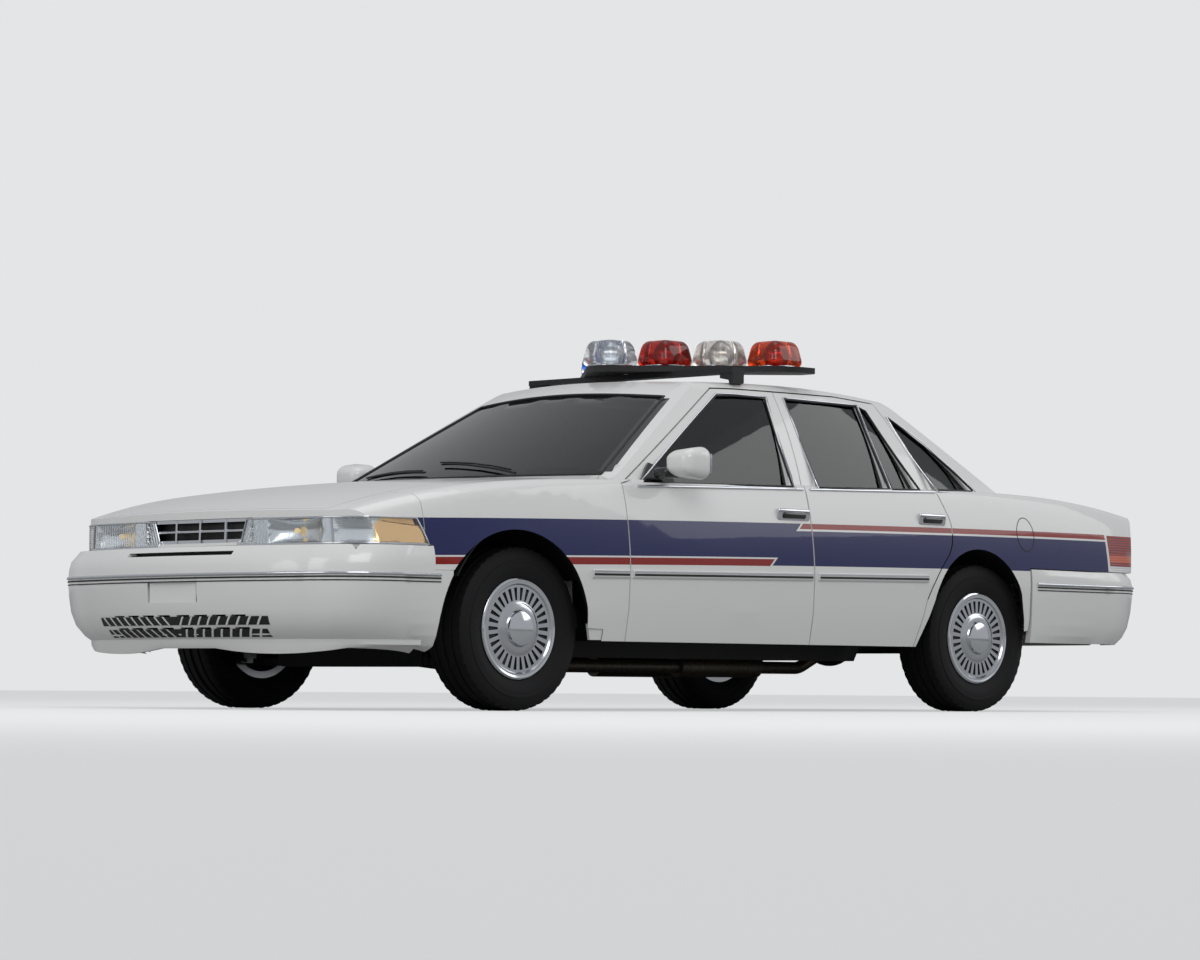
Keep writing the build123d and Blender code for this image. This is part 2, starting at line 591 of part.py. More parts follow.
INTAKE_HALF = 420
INTAKE_SLOTS = 8
front_bumper = bumper_shell(FRONT_BUMPER, (2035, 968), 330)
front_bumper -= block(1900, 2480, -880, 880, STRIP_TOP_Z - 2, 700)
front_bumper -= block(1900, 2131, -1100, 1100, STRIP_TOP_Z - 2, 700)
front_bumper -= tube_y(ARCH_FRONT[0], ARCH_FRONT[1], ARCH_FRONT[2] + 4, -1100, 1100)
front_bumper -= block(2560, 2750, -330, 330, 618, 634)
intake_pitch = 2 * INTAKE_HALF / INTAKE_SLOTS
for z in (312, 362):
    for i in range(INTAKE_SLOTS):
        y = -INTAKE_HALF + (i + 0.5) * intake_pitch
        lean = 9 if y > 0 else -9
        w = intake_pitch / 2 - 14
        front_bumper -= front_prism(((y - w - lean, z - 17), (y + w - lean, z - 17), (y + w + lean, z + 17),
                                     (y - w + lean, z + 17)), 2540, 2750)
front_bumper -= block(NOSE_X - 12, NOSE_X + 20, -155, 155, 430, 512)
save(front_bumper, "front_bumper")
rear_bumper = bumper_shell(REAR_BUMPER, (-1622, 974), 400)
rear_bumper -= block(-2572, -1500, -872, 872, 560, 700)
TAILPIPE_Y = 615
TAILPIPE_Z = 354
for sign in (1, -1):
    rear_bumper -= Pos(-2600, sign * TAILPIPE_Y, TAILPIPE_Z) * Rot(0, 90, 0) * Cylinder(42, 300)
    rear_bumper -= block(-2750, -2450, sign * TAILPIPE_Y - 42, sign * TAILPIPE_Y + 42, 250, TAILPIPE_Z)
save(rear_bumper, "rear_bumper")

# Ladder frame: two kicked-up rails with crossmembers, spring towers and the bumper bars
RAIL_W = 70
FRONT_RAIL_Y = 370
MID_RAIL_Y = 560
REAR_RAIL_Y = 480
TOWER_TOP_Z = 630
CRADLE_Z = 180
RAIL_HEIGHTS = ((2440, 420), (1980, 420), (1400, 330), (1150, 225), (-790, 225), (-1040, 490), (-1480, 490),
                (-1760, 410), (-2440, 410), (-2440, 500), (-1740, 500), (-1500, 580), (-1010, 580), (-770, 297),
                (1120, 297), (1380, 420), (1980, 520), (2440, 520))
RAIL_PLAN = ((2440, FRONT_RAIL_Y), (1300, FRONT_RAIL_Y), (1050, MID_RAIL_Y), (-750, MID_RAIL_Y),
             (-1000, REAR_RAIL_Y), (-2440, REAR_RAIL_Y), (-2440, REAR_RAIL_Y + RAIL_W), (-960, REAR_RAIL_Y + RAIL_W),
             (-720, MID_RAIL_Y + RAIL_W), (1090, MID_RAIL_Y + RAIL_W), (1330, FRONT_RAIL_Y + RAIL_W),
             (2440, FRONT_RAIL_Y + RAIL_W))
# x, half length along X, half width along Y, low z, high z
CROSSMEMBERS = (
    (FRONT_AXLE_X, 115, FRONT_RAIL_Y + RAIL_W, CRADLE_Z, 362),
    (760, 40, MID_RAIL_Y, 228, 262),
    (-750, 40, MID_RAIL_Y - 20, 228, 262),
    (-1700, 25, REAR_RAIL_Y, 440, 500),
    (-2380, 30, REAR_RAIL_Y, 430, 500),
    (2470, 30, 600, 430, 530),
    (-2470, 30, 640, 420, 520),
)
rail = side_prism(RAIL_HEIGHTS, 200, 800) & plan_prism(RAIL_PLAN, 150, 700)
frame = rail + mirrored(rail)
for x, half_x, half_y, z0, z1 in CROSSMEMBERS:
    frame += block(x - half_x, x + half_x, -half_y, half_y, z0, z1)
tower = block(FRONT_AXLE_X - 80, FRONT_AXLE_X + 80, FRONT_RAIL_Y, FRONT_RAIL_Y + RAIL_W, 440, TOWER_TOP_Z)
tower += block(FRONT_AXLE_X - 70, FRONT_AXLE_X + 70, FRONT_RAIL_Y, 585, TOWER_TOP_Z - 28, TOWER_TOP_Z)
frame += tower + mirrored(tower)
save(frame, "chassis_frame")

# Floor pan with its tunnel, rear seat pan and boot floor
PAN = 8
FLOOR_Z = 302
SEAT_PAN_Z = 592
pan = front_prism(((-769, FLOOR_Z), (-170, FLOOR_Z), (-130, 470), (130, 470), (170, FLOOR_Z), (769, FLOOR_Z),
                   (769, FLOOR_Z + PAN), (176, FLOOR_Z + PAN), (136, 470 + PAN), (-136, 470 + PAN),
                   (-176, FLOOR_Z + PAN), (-769, FLOOR_Z + PAN)), -740, 1118)
pan += side_prism(((-732, FLOOR_Z), (-740, FLOOR_Z), (-975, SEAT_PAN_Z), (-975, SEAT_PAN_Z + PAN), (-1428, SEAT_PAN_Z + PAN),
                   (-1428, SEAT_PAN_Z), (-968, SEAT_PAN_Z), (-732, FLOOR_Z + PAN)), -769, 769)
pan += side_prism(((1110, FLOOR_Z), (1118, FLOOR_Z), (1148, 348), (1148, 360), (1110, FLOOR_Z + PAN)), -769, 769)
pan -= block(1100, 1160, -175, 175, 200, 469)
boot_floor = side_prism(((-1502, 592), (-1740, 520), (-2488, 520), (-2488, 528), (-1740, 528), (-1502, 600)), -639, 639)
boot_floor += block(-2330, -1780, -430, 430, 396, 524)
save([pan, boot_floor], "floor_pan")

# Wheels and tyres, turned about their axles
FACE_OUT = 92


def ring(points):
    """A turned ring about Y from (y, radius) pairs."""
    return revolve(make_face(Polyline(*[(r, y, 0) for y, r in points], close=True)), Axis.Y, 360).solid()


def make_tyre():
    half = TYRE_WIDTH / 2
    left = [
        Line((RIM_RADIUS + 1, 0, 0), (RIM_RADIUS + 1, 80, 0)),
        Line((RIM_RADIUS + 1, 80, 0), (RIM_RADIUS + 22, 84, 0)),
        ThreePointArc((RIM_RADIUS + 22, 84, 0), (250, half - 4, 0), (286, half - 4, 0)),
        ThreePointArc((286, half - 4, 0), (322, half - 14, 0), (TYRE_RADIUS - 2, half - 36, 0)),
        Line((TYRE_RADIUS - 2, half - 36, 0), (TYRE_RADIUS, 0, 0)),
    ]
    right = [e.mirror(Plane.XZ) for e in left]
    return revolve(make_face([*left, *right]), Axis.Y, 360).solid()


def make_wheel():
    """Steel rim, brake disc and hub, with the slotted chrome cover, outer face towards +Y."""
    rim = ring(((-FACE_OUT, 176), (FACE_OUT, 176), (FACE_OUT, 205), (86, 205), (84, RIM_RADIUS), (-84, RIM_RADIUS),
                (-86, 205), (-FACE_OUT, 205)))
    web = ring(((34, 32), (42, 32), (42, 90), (20, 130), (20, 177), (12, 177), (12, 126), (34, 86)))
    hub = ring(((-36, 31.5), (41, 31.5), (41, 56), (0, 62), (-36, 62)))
    disc = ring(((-14, 61), (0, 61), (0, 140), (-14, 140)))
    cover = ring(((FACE_OUT - 1, 172), (FACE_OUT - 1, COVER_RADIUS), (FACE_OUT + 4, COVER_RADIUS), (FACE_OUT + 9, 200),
                  (FACE_OUT + 9, 184), (FACE_OUT + 2, 178), (FACE_OUT + 2, 110), (FACE_OUT + 8, 100),
                  (FACE_OUT + 8, 76), (FACE_OUT + 20, 66), (FACE_OUT + 27, 40), (FACE_OUT + 30, 0),
                  (FACE_OUT + 22, 0), (FACE_OUT + 20, 36), (FACE_OUT + 12, 60), (FACE_OUT - 4, 72),
                  (FACE_OUT - 4, 172)))
    for i in range(COVER_SLOTS):
        slot = plan_prism(((116, -4.5), (168, -9), (168, 9), (116, 4.5)), -20, 20)
        slot = Pos(0, FACE_OUT, 0) * Rot(0, 360 * i / COVER_SLOTS, 0) * Rot(90, 0, 0) * slot
        cover -= slot
    return rim + web + hub + disc + cover


tyre = make_tyre()
wheel = make_wheel()
for axle, x, track in (("front", FRONT_AXLE_X, TRACK_FRONT), ("rear", REAR_AXLE_X, TRACK_REAR)):
    for hand, sign in (("left", 1), ("right", -1)):
        place = Pos(x, sign * track / 2, TYRE_RADIUS)
        turn = Rot(0, 0, 0) if sign > 0 else Rot(0, 0, 180)
        save(place * turn * tyre, f"tyre_{axle}_{hand}")
        save(place * turn * wheel, f"wheel_{axle}_{hand}")

# Steering knuckles on an upright kingpin line, and the wishbones that carry them
KINGPIN_Y = 715
SPINDLE_RADIUS = 30.5
wheel_y = TRACK_FRONT / 2
knuckle = Pos(FRONT_AXLE_X, KINGPIN_Y, 345) * Cylinder(18, 260)
knuckle += block(FRONT_AXLE_X - 38, FRONT_AXLE_X + 38, KINGPIN_Y - 12, KINGPIN_Y + 26, 255, 430)
knuckle += tube_y(FRONT_AXLE_X, TYRE_RADIUS, SPINDLE_RADIUS, KINGPIN_Y, wheel_y + 30)
knuckle += tube_y(FRONT_AXLE_X, TYRE_RADIUS, 48, KINGPIN_Y, wheel_y - 42)
knuckle += block(FRONT_AXLE_X - 135, FRONT_AXLE_X, KINGPIN_Y - 12, KINGPIN_Y + 10, 262, 284)
save(knuckle, "knuckle_left")
save(mirrored(knuckle), "knuckle_right")
arm_root = FRONT_RAIL_Y + RAIL_W + SEAT_GAP
arm_plan = ((FRONT_AXLE_X + 22, 737), (FRONT_AXLE_X + 22, 668), (FRONT_AXLE_X + 80, 600), (FRONT_AXLE_X + 110, arm_root),
            (FRONT_AXLE_X - 110, arm_root), (FRONT_AXLE_X - 80, 600), (FRONT_AXLE_X - 22, 668), (FRONT_AXLE_X - 22, 737))
arm_eye = ((FRONT_AXLE_X + 56, 585), (FRONT_AXLE_X + 66, 462), (FRONT_AXLE_X - 66, 462), (FRONT_AXLE_X - 56, 585))
upper_arm = plan_prism(arm_plan, 475 + SEAT_GAP, 503) - plan_prism(arm_eye, 400, 600)
lower_arm = plan_prism(arm_plan, 184, 215 - SEAT_GAP)
lower_arm += block(FRONT_AXLE_X - 110, FRONT_AXLE_X + 110, arm_root, 470, 184, 230)
# springs as stacked rings round a damper
def make_spring(radius, height, coils):
    pitch = height / coils
    core = Cylinder(radius * 0.42, height)
    rows = [Pos(0, 0, -height / 2 + (i + 0.5) * pitch) * Torus(radius * 0.82, min(radius * 0.18, pitch * 0.42)) for i in range(coils)]
    plates = [Pos(0, 0, k * (height / 2 - 5)) * Cylinder(radius, 10) for k in (-1, 1)]
    webs = [Box(radius * 1.7, 8, height - 10), Box(8, radius * 1.7, height - 10)]
    for piece in (*plates, *webs, *rows):
        core += piece
    return core


front_low = 215
front_high = TOWER_TOP_Z - 28 - SEAT_GAP
front_spring = Pos(FRONT_AXLE_X, 522, (front_low + front_high) / 2) * make_spring(50, front_high - front_low, 8)

# Rear axle: housing, differential, shafts and the plates that carry the brakes
axle = tube_y(REAR_AXLE_X, TYRE_RADIUS, 40, -725, 725)
axle += Pos(REAR_AXLE_X, 0, TYRE_RADIUS) * Sphere(128)
axle += Pos(REAR_AXLE_X + 130, 0, TYRE_RADIUS) * Rot(0, 90, 0) * Cylinder(45, 150)
for sign in (1, -1):
    y = sign * TRACK_REAR / 2
    axle += tube_y(REAR_AXLE_X, TYRE_RADIUS, SPINDLE_RADIUS, sign * 700, y + sign * 30)
    axle += tube_y(REAR_AXLE_X, TYRE_RADIUS, 120, sign * 725, sign * 737)
    axle += block(REAR_AXLE_X - 60, REAR_AXLE_X + 60, sign * 515 - 60, sign * 515 + 60, 360, 380)
save(axle, "rear_axle")
rear_spring = Pos(REAR_AXLE_X, 515, (380 + SEAT_GAP + 490 - SEAT_GAP) / 2) * make_spring(52, 110 - 2 * SEAT_GAP, 4)
save([front_spring, mirrored(front_spring), rear_spring, mirrored(rear_spring)], "springs")
arms = []
for sign in (1, -1):
    arms.append(side_prism(((REAR_AXLE_X + 40 + SEAT_GAP, 312), (REAR_AXLE_X + 40 + SEAT_GAP, 352), (-790 - SEAT_GAP, 260),
                            (-790 - SEAT_GAP, 230)), sign * 440 - 22, sign * 440 + 22))
save([upper_arm, lower_arm, mirrored(upper_arm), mirrored(lower_arm), *arms], "suspension_arms")

# Engine, gearbox and propeller shaft, each a plain block of its real size
save(fillet(block(1330, 1990, -290, 290, 372, 830).edges().filter_by(Axis.X), 60), "engine_block")
gearbox = Pos(1080.5, 0, 375) * Rot(0, 90, 0) * Cone(78, 88, 499)
save(gearbox, "gearbox")
prop_run = Vector(REAR_AXLE_X + 206 - 830, 0, TYRE_RADIUS - 375)
prop_length = prop_run.length - 1
prop_tilt = Vector(0, 0, 1).get_angle(prop_run)
prop = Pos((830 + REAR_AXLE_X + 206) / 2, 0, (375 + TYRE_RADIUS) / 2) * Rot(0, -prop_tilt, 0) * Cylinder(38, prop_length)
save(prop, "propeller_shaft")

# Radiator, fuel tank and exhausts
radiator = block(2250, 2310, -350, 350, 290, 680)
save(radiator, "radiator")
tank = block(-1720, -1560, -400, 400, 270, 430)
save(fillet(tank.edges(), 25), "fuel_tank")
PIPE_RADIUS = 28
TAILPIPE_X = -2640
PIPE_RUN_Z = 194


def make_exhaust():
    """Down from the engine, through a silencer and over the axle to the tail."""
    route = ((1420, 320, 300), (1250, 300, 230), (900, 260, PIPE_RUN_Z), (-800, 260, PIPE_RUN_Z), (-1000, 330, 320),
             (-1150, 420, 452), (-1470, 425, 452), (-1760, 575, 366), (-2200, TAILPIPE_Y, TAILPIPE_Z),
             (TAILPIPE_X, TAILPIPE_Y, TAILPIPE_Z))
    path = FilletPolyline(*route, radius=[80] * (len(route) - 2))
    start = Plane(origin=route[0], z_dir=Vector(route[1]) - Vector(route[0]))
    pipe = sweep(start * Circle(PIPE_RADIUS), path=Wire(path.edges()))
    box = Pos(-250, 260, PIPE_RUN_Z) * Rot(0, 90, 0) * Cylinder(46, 520)
    return pipe + box


exhaust = make_exhaust()
save([exhaust, mirrored(exhaust)], "exhaust_pipes")

# Wheel-well liners
def liner(x, z, radius, inner_y, outer_y, foot_z, slot):
    shell = tube_y(x, z, radius - 1, inner_y, outer_y) - tube_y(x, z, radius - 1 - LINER, inner_y + LINER, outer_y + 10)
    shell -= block(x - 600, x + 600, 300, 1100, -300, foot_z)
    return shell - block(x - slot, x + slot, 300, inner_y + LINER + 1, 0, 660)


front_liner = liner(FRONT_AXLE_X + 10, TYRE_RADIUS, WELL_FRONT_RADIUS, WELL_FRONT_INNER_Y + 2, 945, 540, 170)
rear_liner = liner(REAR_AXLE_X + 16, TYRE_RADIUS + 20, WELL_REAR_RADIUS, WELL_REAR_INNER_Y + 2, 940, 600, 60)
save([front_liner, mirrored(front_liner), rear_liner, mirrored(rear_liner)], "wheel_well_liners")

# Cabin: dashboard, steering column and wheel, seats
dash = side_prism(((1140, 600), (1140, 905), (1000, 922), (830, 900), (770, 850), (790, 760), (880, 690), (940, 600)), -790, 790)
WHEEL_TILT = 24
STEER_Y = 370
steer_centre = Vector(610, STEER_Y, 885)
column_dir = Vector(cos(radians(WHEEL_TILT)), 0, -sin(radians(WHEEL_TILT)))
column_plane = Plane(origin=steer_centre, z_dir=column_dir)
dash -= column_plane * Pos(0, 0, 250) * Cylinder(26, 500)
for sign in (1, -1):
    dash -= block(1036, 1150, sign * 765, sign * 900, 500, 1000)
save(dash, "dashboard")
column = column_plane * Pos(0, 0, 35 + 195) * Cylinder(25.5, 390)
save(column, "steering_column")
steering_wheel = column_plane * Torus(178, 14)
steering_wheel += column_plane * Pos(0, 0, 12) * Cylinder(62, 44)
for angle in (10, 170, 270):
    steering_wheel += column_plane * Rot(0, 0, angle) * Pos(110, 0, 4) * Box(130, 34, 12)
save(steering_wheel, "steering_wheel")


def seat_block(profile, y0, y1, radius):
    body = side_prism(profile, y0, y1)
    return fillet(body.edges(), radius)


seats = []
for sign in (1, -1):
    y0, y1 = sorted((sign * 150, sign * 640))
    cushion = seat_block(((490, 395), (490, 545), (80, 510), (80, 395)), y0, y1, 30)
    back = seat_block(((74, 430), (74, 520), (-120, 1060), (-205, 1045), (-60, 430)), y0, y1, 24)
    rest = Pos(-175, (y0 + y1) / 2, 1140) * Rot(0, -18, 0) * Box(80, 270, 140)
    rest = fillet(rest.edges(), 28)
    stalks = [Pos(-168, (y0 + y1) / 2 + k * 60, 1062) * Rot(0, -18, 0) * Cylinder(7, 60) for k in (-1, 1)]
    frame_base = block(120, 440, y0 + 75, y1 - 75, FLOOR_Z + PAN, 397)
    seat = cushion + back + rest + frame_base + block(66, 96, y0 + 40, y1 - 40, 430, 500)
    for stalk in stalks:
        seat += stalk
    seats.append(seat)
save(seats, "front_seats")
rear_cushion = seat_block(((-720, 604), (-720, 740), (-1230, 715), (-1230, 604)), -640, 640, 28)
rear_back = seat_block(((-1180, 700), (-1150, 760), (-1290, 1000), (-1420, 1000), (-1420, 604), (-1225, 604)), -635, 635, 22)
save(rear_cushion + rear_back, "rear_seat")

# Door mirrors on short arms
mirror_body = Pos(748, 1040, 1048) * Box(150, 170, 128)
mirror_body = fillet(mirror_body.edges(), 38)
mirror_body += side_prism(((905, 962), (880, 962), (740, 968), (735, 1000), (800, 1040), (850, 1010)), 905, 990)
mirror_body -= front_door
save(mirror_body, "door_mirror_left")
save(mirrored(mirror_body), "door_mirror_right")

# Light bar: a V of seven domed pods on a black tray, carried on a crossbar with feet at the roof edges
BAR_Z = 1505
POD_PLACES = ((175, 0), (0, 190), (-178, 378), (-368, 560))
BAR_PLAN = ((285, 0), (262, 62), (-262, 636), (-330, 668), (-452, 668), (-470, 640), (-470, 566), (80, 0))
bar_tray = plan_prism(BAR_PLAN, BAR_Z, BAR_Z + 26)
bar_base = bar_tray + mirrored(bar_tray)
bar_base += block(-20, 60, -640, 640, BAR_Z - 22, BAR_Z + 1)
for sign in (1, -1):
    foot = ((560, BAR_Z), (640, BAR_Z), (640, 1440), (618, 1432), (612, 1452), (560, 1462))
    bar_base += front_prism([(sign * y, z) for y, z in foot], -15, 55)
bar_base -= whole_body
save(bar_base, "light_bar_base")


def make_pod():
    """A domed lens, wide at its foot, with a slightly sloping top."""
    foot = RectangleRounded(178, 178, 60)
    waist = Pos(0, 0, 55) * RectangleRounded(168, 168, 58)
    top = Pos(0, 0, 118) * RectangleRounded(132, 138, 46)
    pod = loft([foot, waist, top])
    return fillet(pod.faces().sort_by(Axis.Z)[-1].edges(), 14)


pod = make_pod()
pods = []
for x, y in POD_PLACES:
    for sign in ((1, -1) if y else (1,)):
        pods.append(Pos(x, sign * y, BAR_Z + 26 + SEAT_GAP) * pod)
save(pods, "light_bar_lenses")
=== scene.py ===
# %% [markdown]
# # A police patrol car
# The solids come from the CAD frame: panels, glass, wheels and chassis. This script gives them
# their finishes, and adds what a panel beater or trimmer fits last: mouldings, handles, lamps,
# tyre tread, seats and wipers. Everything is in metres, +X to the nose, +Y to the car's left.

# %% Load the frame
import json
from math import atan2, cos, pi, radians, sin

import bmesh
import bpy
import numpy as np
from mathutils import Matrix, Vector
from mathutils.bvhtree import BVHTree


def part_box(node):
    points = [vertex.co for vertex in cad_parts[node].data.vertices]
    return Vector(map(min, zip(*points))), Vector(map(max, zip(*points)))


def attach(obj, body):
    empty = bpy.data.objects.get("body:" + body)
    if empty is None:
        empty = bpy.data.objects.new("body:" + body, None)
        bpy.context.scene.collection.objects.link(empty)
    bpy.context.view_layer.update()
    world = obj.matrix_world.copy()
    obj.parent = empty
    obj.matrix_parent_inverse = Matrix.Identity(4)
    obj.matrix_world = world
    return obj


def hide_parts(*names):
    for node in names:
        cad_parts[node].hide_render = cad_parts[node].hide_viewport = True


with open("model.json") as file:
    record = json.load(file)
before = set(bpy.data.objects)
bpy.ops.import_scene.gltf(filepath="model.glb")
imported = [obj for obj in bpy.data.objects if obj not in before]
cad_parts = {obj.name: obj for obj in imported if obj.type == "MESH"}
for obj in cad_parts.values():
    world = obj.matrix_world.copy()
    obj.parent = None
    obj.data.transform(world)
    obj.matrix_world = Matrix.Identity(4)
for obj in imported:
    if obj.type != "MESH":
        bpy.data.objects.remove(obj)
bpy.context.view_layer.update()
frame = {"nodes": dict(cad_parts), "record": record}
nodes = frame["nodes"]
rides_on = {n: b for b, group in frame["record"]["behaviour"]["bodies"].items() for n in group}
HANDS = (("left", 1), ("right", -1))

# %% [markdown]
# ## Helpers for materials
# A colour is written as the sRGB hex value that a paint chart would give, and is turned to the
# linear values that the renderer works in. One function adds a shader node with its settings.
# No real surface is perfectly even, so every finish also gets a fine grain of its real size.


# %% Material helpers
def linear(code):
    """A hex colour as linear red, green, blue and alpha."""
    parts = [int(code[i:i + 2], 16) / 255 for i in (1, 3, 5)]
    return (*[c / 12.92 if c <= 0.04045 else ((c + 0.055) / 1.055) ** 2.4 for c in parts], 1.0)


def add(tree, kind, inputs=None, **settings):
    """Adds one node; an input is a value or another node's output."""
    node = tree.nodes.new(kind)
    for key, value in settings.items():
        setattr(node, key, value)
    for key, value in (inputs or {}).items():
        if isinstance(value, bpy.types.NodeSocket):
            tree.links.new(value, node.inputs[key])
        else:
            node.inputs[key].default_value = value
    return node


def finish(name, colour, **inputs):
    """A named material whose shader starts from one colour and its own socket values."""
    made = bpy.data.materials.new(name)
    made.use_nodes = True
    shader = made.node_tree.nodes["Principled BSDF"]
    shader.inputs["Base Color"].default_value = linear(colour)
    for key, value in inputs.items():
        shader.inputs[key.replace("_", " ")].default_value = value
    return made, made.node_tree, shader


def grain(tree, shader, size_mm, depth_mm, detail=3.0, low=None, high=None):
    """Fine bumps of a real size, and a slight roughness change between them."""
    place = add(tree, "ShaderNodeTexCoord")
    noise = add(tree, "ShaderNodeTexNoise",
                {"Vector": place.outputs["Object"], "Scale": 1000 / size_mm, "Detail": detail})
    bump = add(tree, "ShaderNodeBump",
               {"Height": noise.outputs["Fac"], "Distance": depth_mm / 1000, "Strength": 0.6})
    tree.links.new(bump.outputs["Normal"], shader.inputs["Normal"])
    if low is not None:
        spread = add(tree, "ShaderNodeMapRange",
                     {"Value": noise.outputs["Fac"], "To Min": low, "To Max": high})
        tree.links.new(spread.outputs["Result"], shader.inputs["Roughness"])
    return noise


def plain_finish(name, colour, bumps, **inputs):
    """A finish of one colour; bumps are grain's size, depth, detail and roughness range."""
    made, tree, shader = finish(name, colour, **inputs)
    grain(tree, shader, *bumps)
    return made


# %% [markdown]
# ## Body paint with its livery
# The panels are baked enamel: white under a clear coat. The stripes are cut vinyl, so they have
# hard edges. All their edges run along one shallow curve, so the material works out how far a
# point lies below that curve, and compares it with a table of bands. A picture of the stripes
# could be wrapped on instead, but a comparison stays sharp at any distance and needs no unwrapping.

# %% White enamel and the livery's sizes
WHITE, NAVY, RED = "#E4E4E2", "#0C1654", "#8C1206"
CURVE_Z, CURVE_SLOPE, CURVE_BEND = 0.8145, 0.0154, 0.00275
# colour, middle and half height below the curve, which end of the car, where the slanted cut lies
BANDS = (
    (NAVY, -0.075, 0.075, "GREATER_THAN", 0.854),
    (NAVY, -0.109, 0.076, "LESS_THAN", 0.854),
    (RED, -0.172, 0.015, "GREATER_THAN", 0.866),
    (RED, -0.012, 0.012, "LESS_THAN", 0.842),
)
CUT_SLANT = 1.1
FRONT_END, FRONT_LEAN, BACK_END = 1.9716, -0.32, -2.245
OUTWARD, INWARD = 0.2, 0.12
# middle and half length of each wheel opening, and the height that underseal reaches
ARCHES, SEAL_TOP = ((1.6, 0.47), (-1.306, 0.43)), 0.8
# a thin clear coat makes the paint look wet over its faint orange-peel
enamel = plain_finish("white_enamel", WHITE, (0.6, 0.002), Roughness=0.32, Coat_Weight=0.7,
                      Coat_Roughness=0.04)

# %% Striped enamel
striped, tree, shader = finish("striped_enamel", WHITE, Roughness=0.3, Specular_IOR_Level=0.3,
                               Coat_Weight=0.6, Coat_Roughness=0.03)
place = add(tree, "ShaderNodeTexCoord")
point = add(tree, "ShaderNodeSeparateXYZ", {0: place.outputs["Object"]})
facing = add(tree, "ShaderNodeSeparateXYZ",
             {0: add(tree, "ShaderNodeNewGeometry").outputs["Normal"]})
px, py, pz = (point.outputs[i] for i in range(3))
# height over the stripes' curve
square = add(tree, "ShaderNodeMath", {0: px, 1: px}, operation="MULTIPLY")
bent = add(tree, "ShaderNodeMath", {0: square.outputs[0], 1: CURVE_BEND, 2: pz},
           operation="MULTIPLY_ADD")
sloped = add(tree, "ShaderNodeMath", {0: px, 1: CURVE_SLOPE, 2: bent.outputs[0]},
             operation="MULTIPLY_ADD")
below = add(tree, "ShaderNodeMath", {0: sloped.outputs[0], 1: CURVE_Z}, operation="SUBTRACT")
slant = add(tree, "ShaderNodeMath", {0: pz, 1: CUT_SLANT, 2: px}, operation="MULTIPLY_ADD")
# only faces that look outwards, between the two ends of the livery
outward = add(tree, "ShaderNodeMath", {0: py, 1: facing.outputs[1]}, operation="MULTIPLY")
outside = add(tree, "ShaderNodeMath", {0: outward.outputs[0], 1: OUTWARD}, operation="GREATER_THAN")
lean = add(tree, "ShaderNodeMath", {0: pz, 1: FRONT_LEAN, 2: px}, operation="MULTIPLY_ADD")
front_end = add(tree, "ShaderNodeMath", {0: lean.outputs[0], 1: FRONT_END}, operation="LESS_THAN")
back_end = add(tree, "ShaderNodeMath", {0: px, 1: BACK_END}, operation="GREATER_THAN")
ends = add(tree, "ShaderNodeMath", {0: front_end.outputs[0], 1: back_end.outputs[0]},
           operation="MULTIPLY")
zone = add(tree, "ShaderNodeMath", {0: ends.outputs[0], 1: outside.outputs[0]},
           operation="MULTIPLY")
colour = linear(WHITE)
for band, middle, half, side, cut in BANDS:
    inside = add(tree, "ShaderNodeMath", {0: below.outputs[0], 1: middle, 2: half},
                 operation="COMPARE")
    part = add(tree, "ShaderNodeMath", {0: slant.outputs[0], 1: cut}, operation=side)
    both = add(tree, "ShaderNodeMath", {0: inside.outputs[0], 1: part.outputs[0]},
               operation="MULTIPLY")
    share = add(tree, "ShaderNodeMath", {0: both.outputs[0], 1: zone.outputs[0]},
                operation="MULTIPLY")
    blend = add(tree, "ShaderNodeMix", {0: share.outputs[0], 6: colour, 7: linear(band)},
                data_type="RGBA")
    colour = blend.outputs[2]
# faces that look inwards beside a wheel are sprayed with underseal
arches = add(tree, "ShaderNodeMath", {
    i: add(tree, "ShaderNodeMath", {0: px, 1: middle, 2: half}, operation="COMPARE").outputs[0]
    for i, (middle, half) in enumerate(ARCHES)})
inward = add(tree, "ShaderNodeMath", {0: outward.outputs[0], 1: INWARD}, operation="LESS_THAN")
low = add(tree, "ShaderNodeMath", {0: pz, 1: SEAL_TOP}, operation="LESS_THAN")
beside = add(tree, "ShaderNodeMath", {0: arches.outputs[0], 1: inward.outputs[0]},
             operation="MULTIPLY")
sprayed = add(tree, "ShaderNodeMath", {0: beside.outputs[0], 1: low.outputs[0]},
              operation="MULTIPLY", use_clamp=True)
under = add(tree, "ShaderNodeMix", {0: sprayed.outputs[0], 6: colour, 7: linear("#161616")},
            data_type="RGBA")
tree.links.new(under.outputs[2], shader.inputs["Base Color"])
grain(tree, shader, 0.6, 0.002)
print("livery bands", len(BANDS))

# %% [markdown]
# ## Metals, glass, rubber and plastics
# Bright trim is chrome plate over steel, the screens are toughened glass with a green-grey tint,
# the tyres are carbon-black rubber, and the trim is grained, moulded plastic. Each gets a grain of
# its real size; the finest ones are drawn a little coarser so that they show.

# %% Bright and bare metals
# plate over polished steel: an almost perfect mirror with faint polishing marks
chrome = plain_finish("chrome_plate", "#D9DCE0", (2.5, 0.01, 2.0, 0.06, 0.16), Metallic=1.0,
                      Roughness=0.1)
# plate over a pressed cover keeps the press's slight waves, so its reflections are softer
vane_chrome = plain_finish("pressed_cover_chrome", "#C9CCD0", (4.0, 0.02, 2.0, 0.12, 0.24),
                           Metallic=1.0, Roughness=0.16)
# the sand of the mould leaves a dull, pitted skin
cast_iron = plain_finish("sand_cast_iron", "#3A3836", (2.2, 0.2, 6.0, 0.5, 0.75), Metallic=0.75,
                         Roughness=0.62)
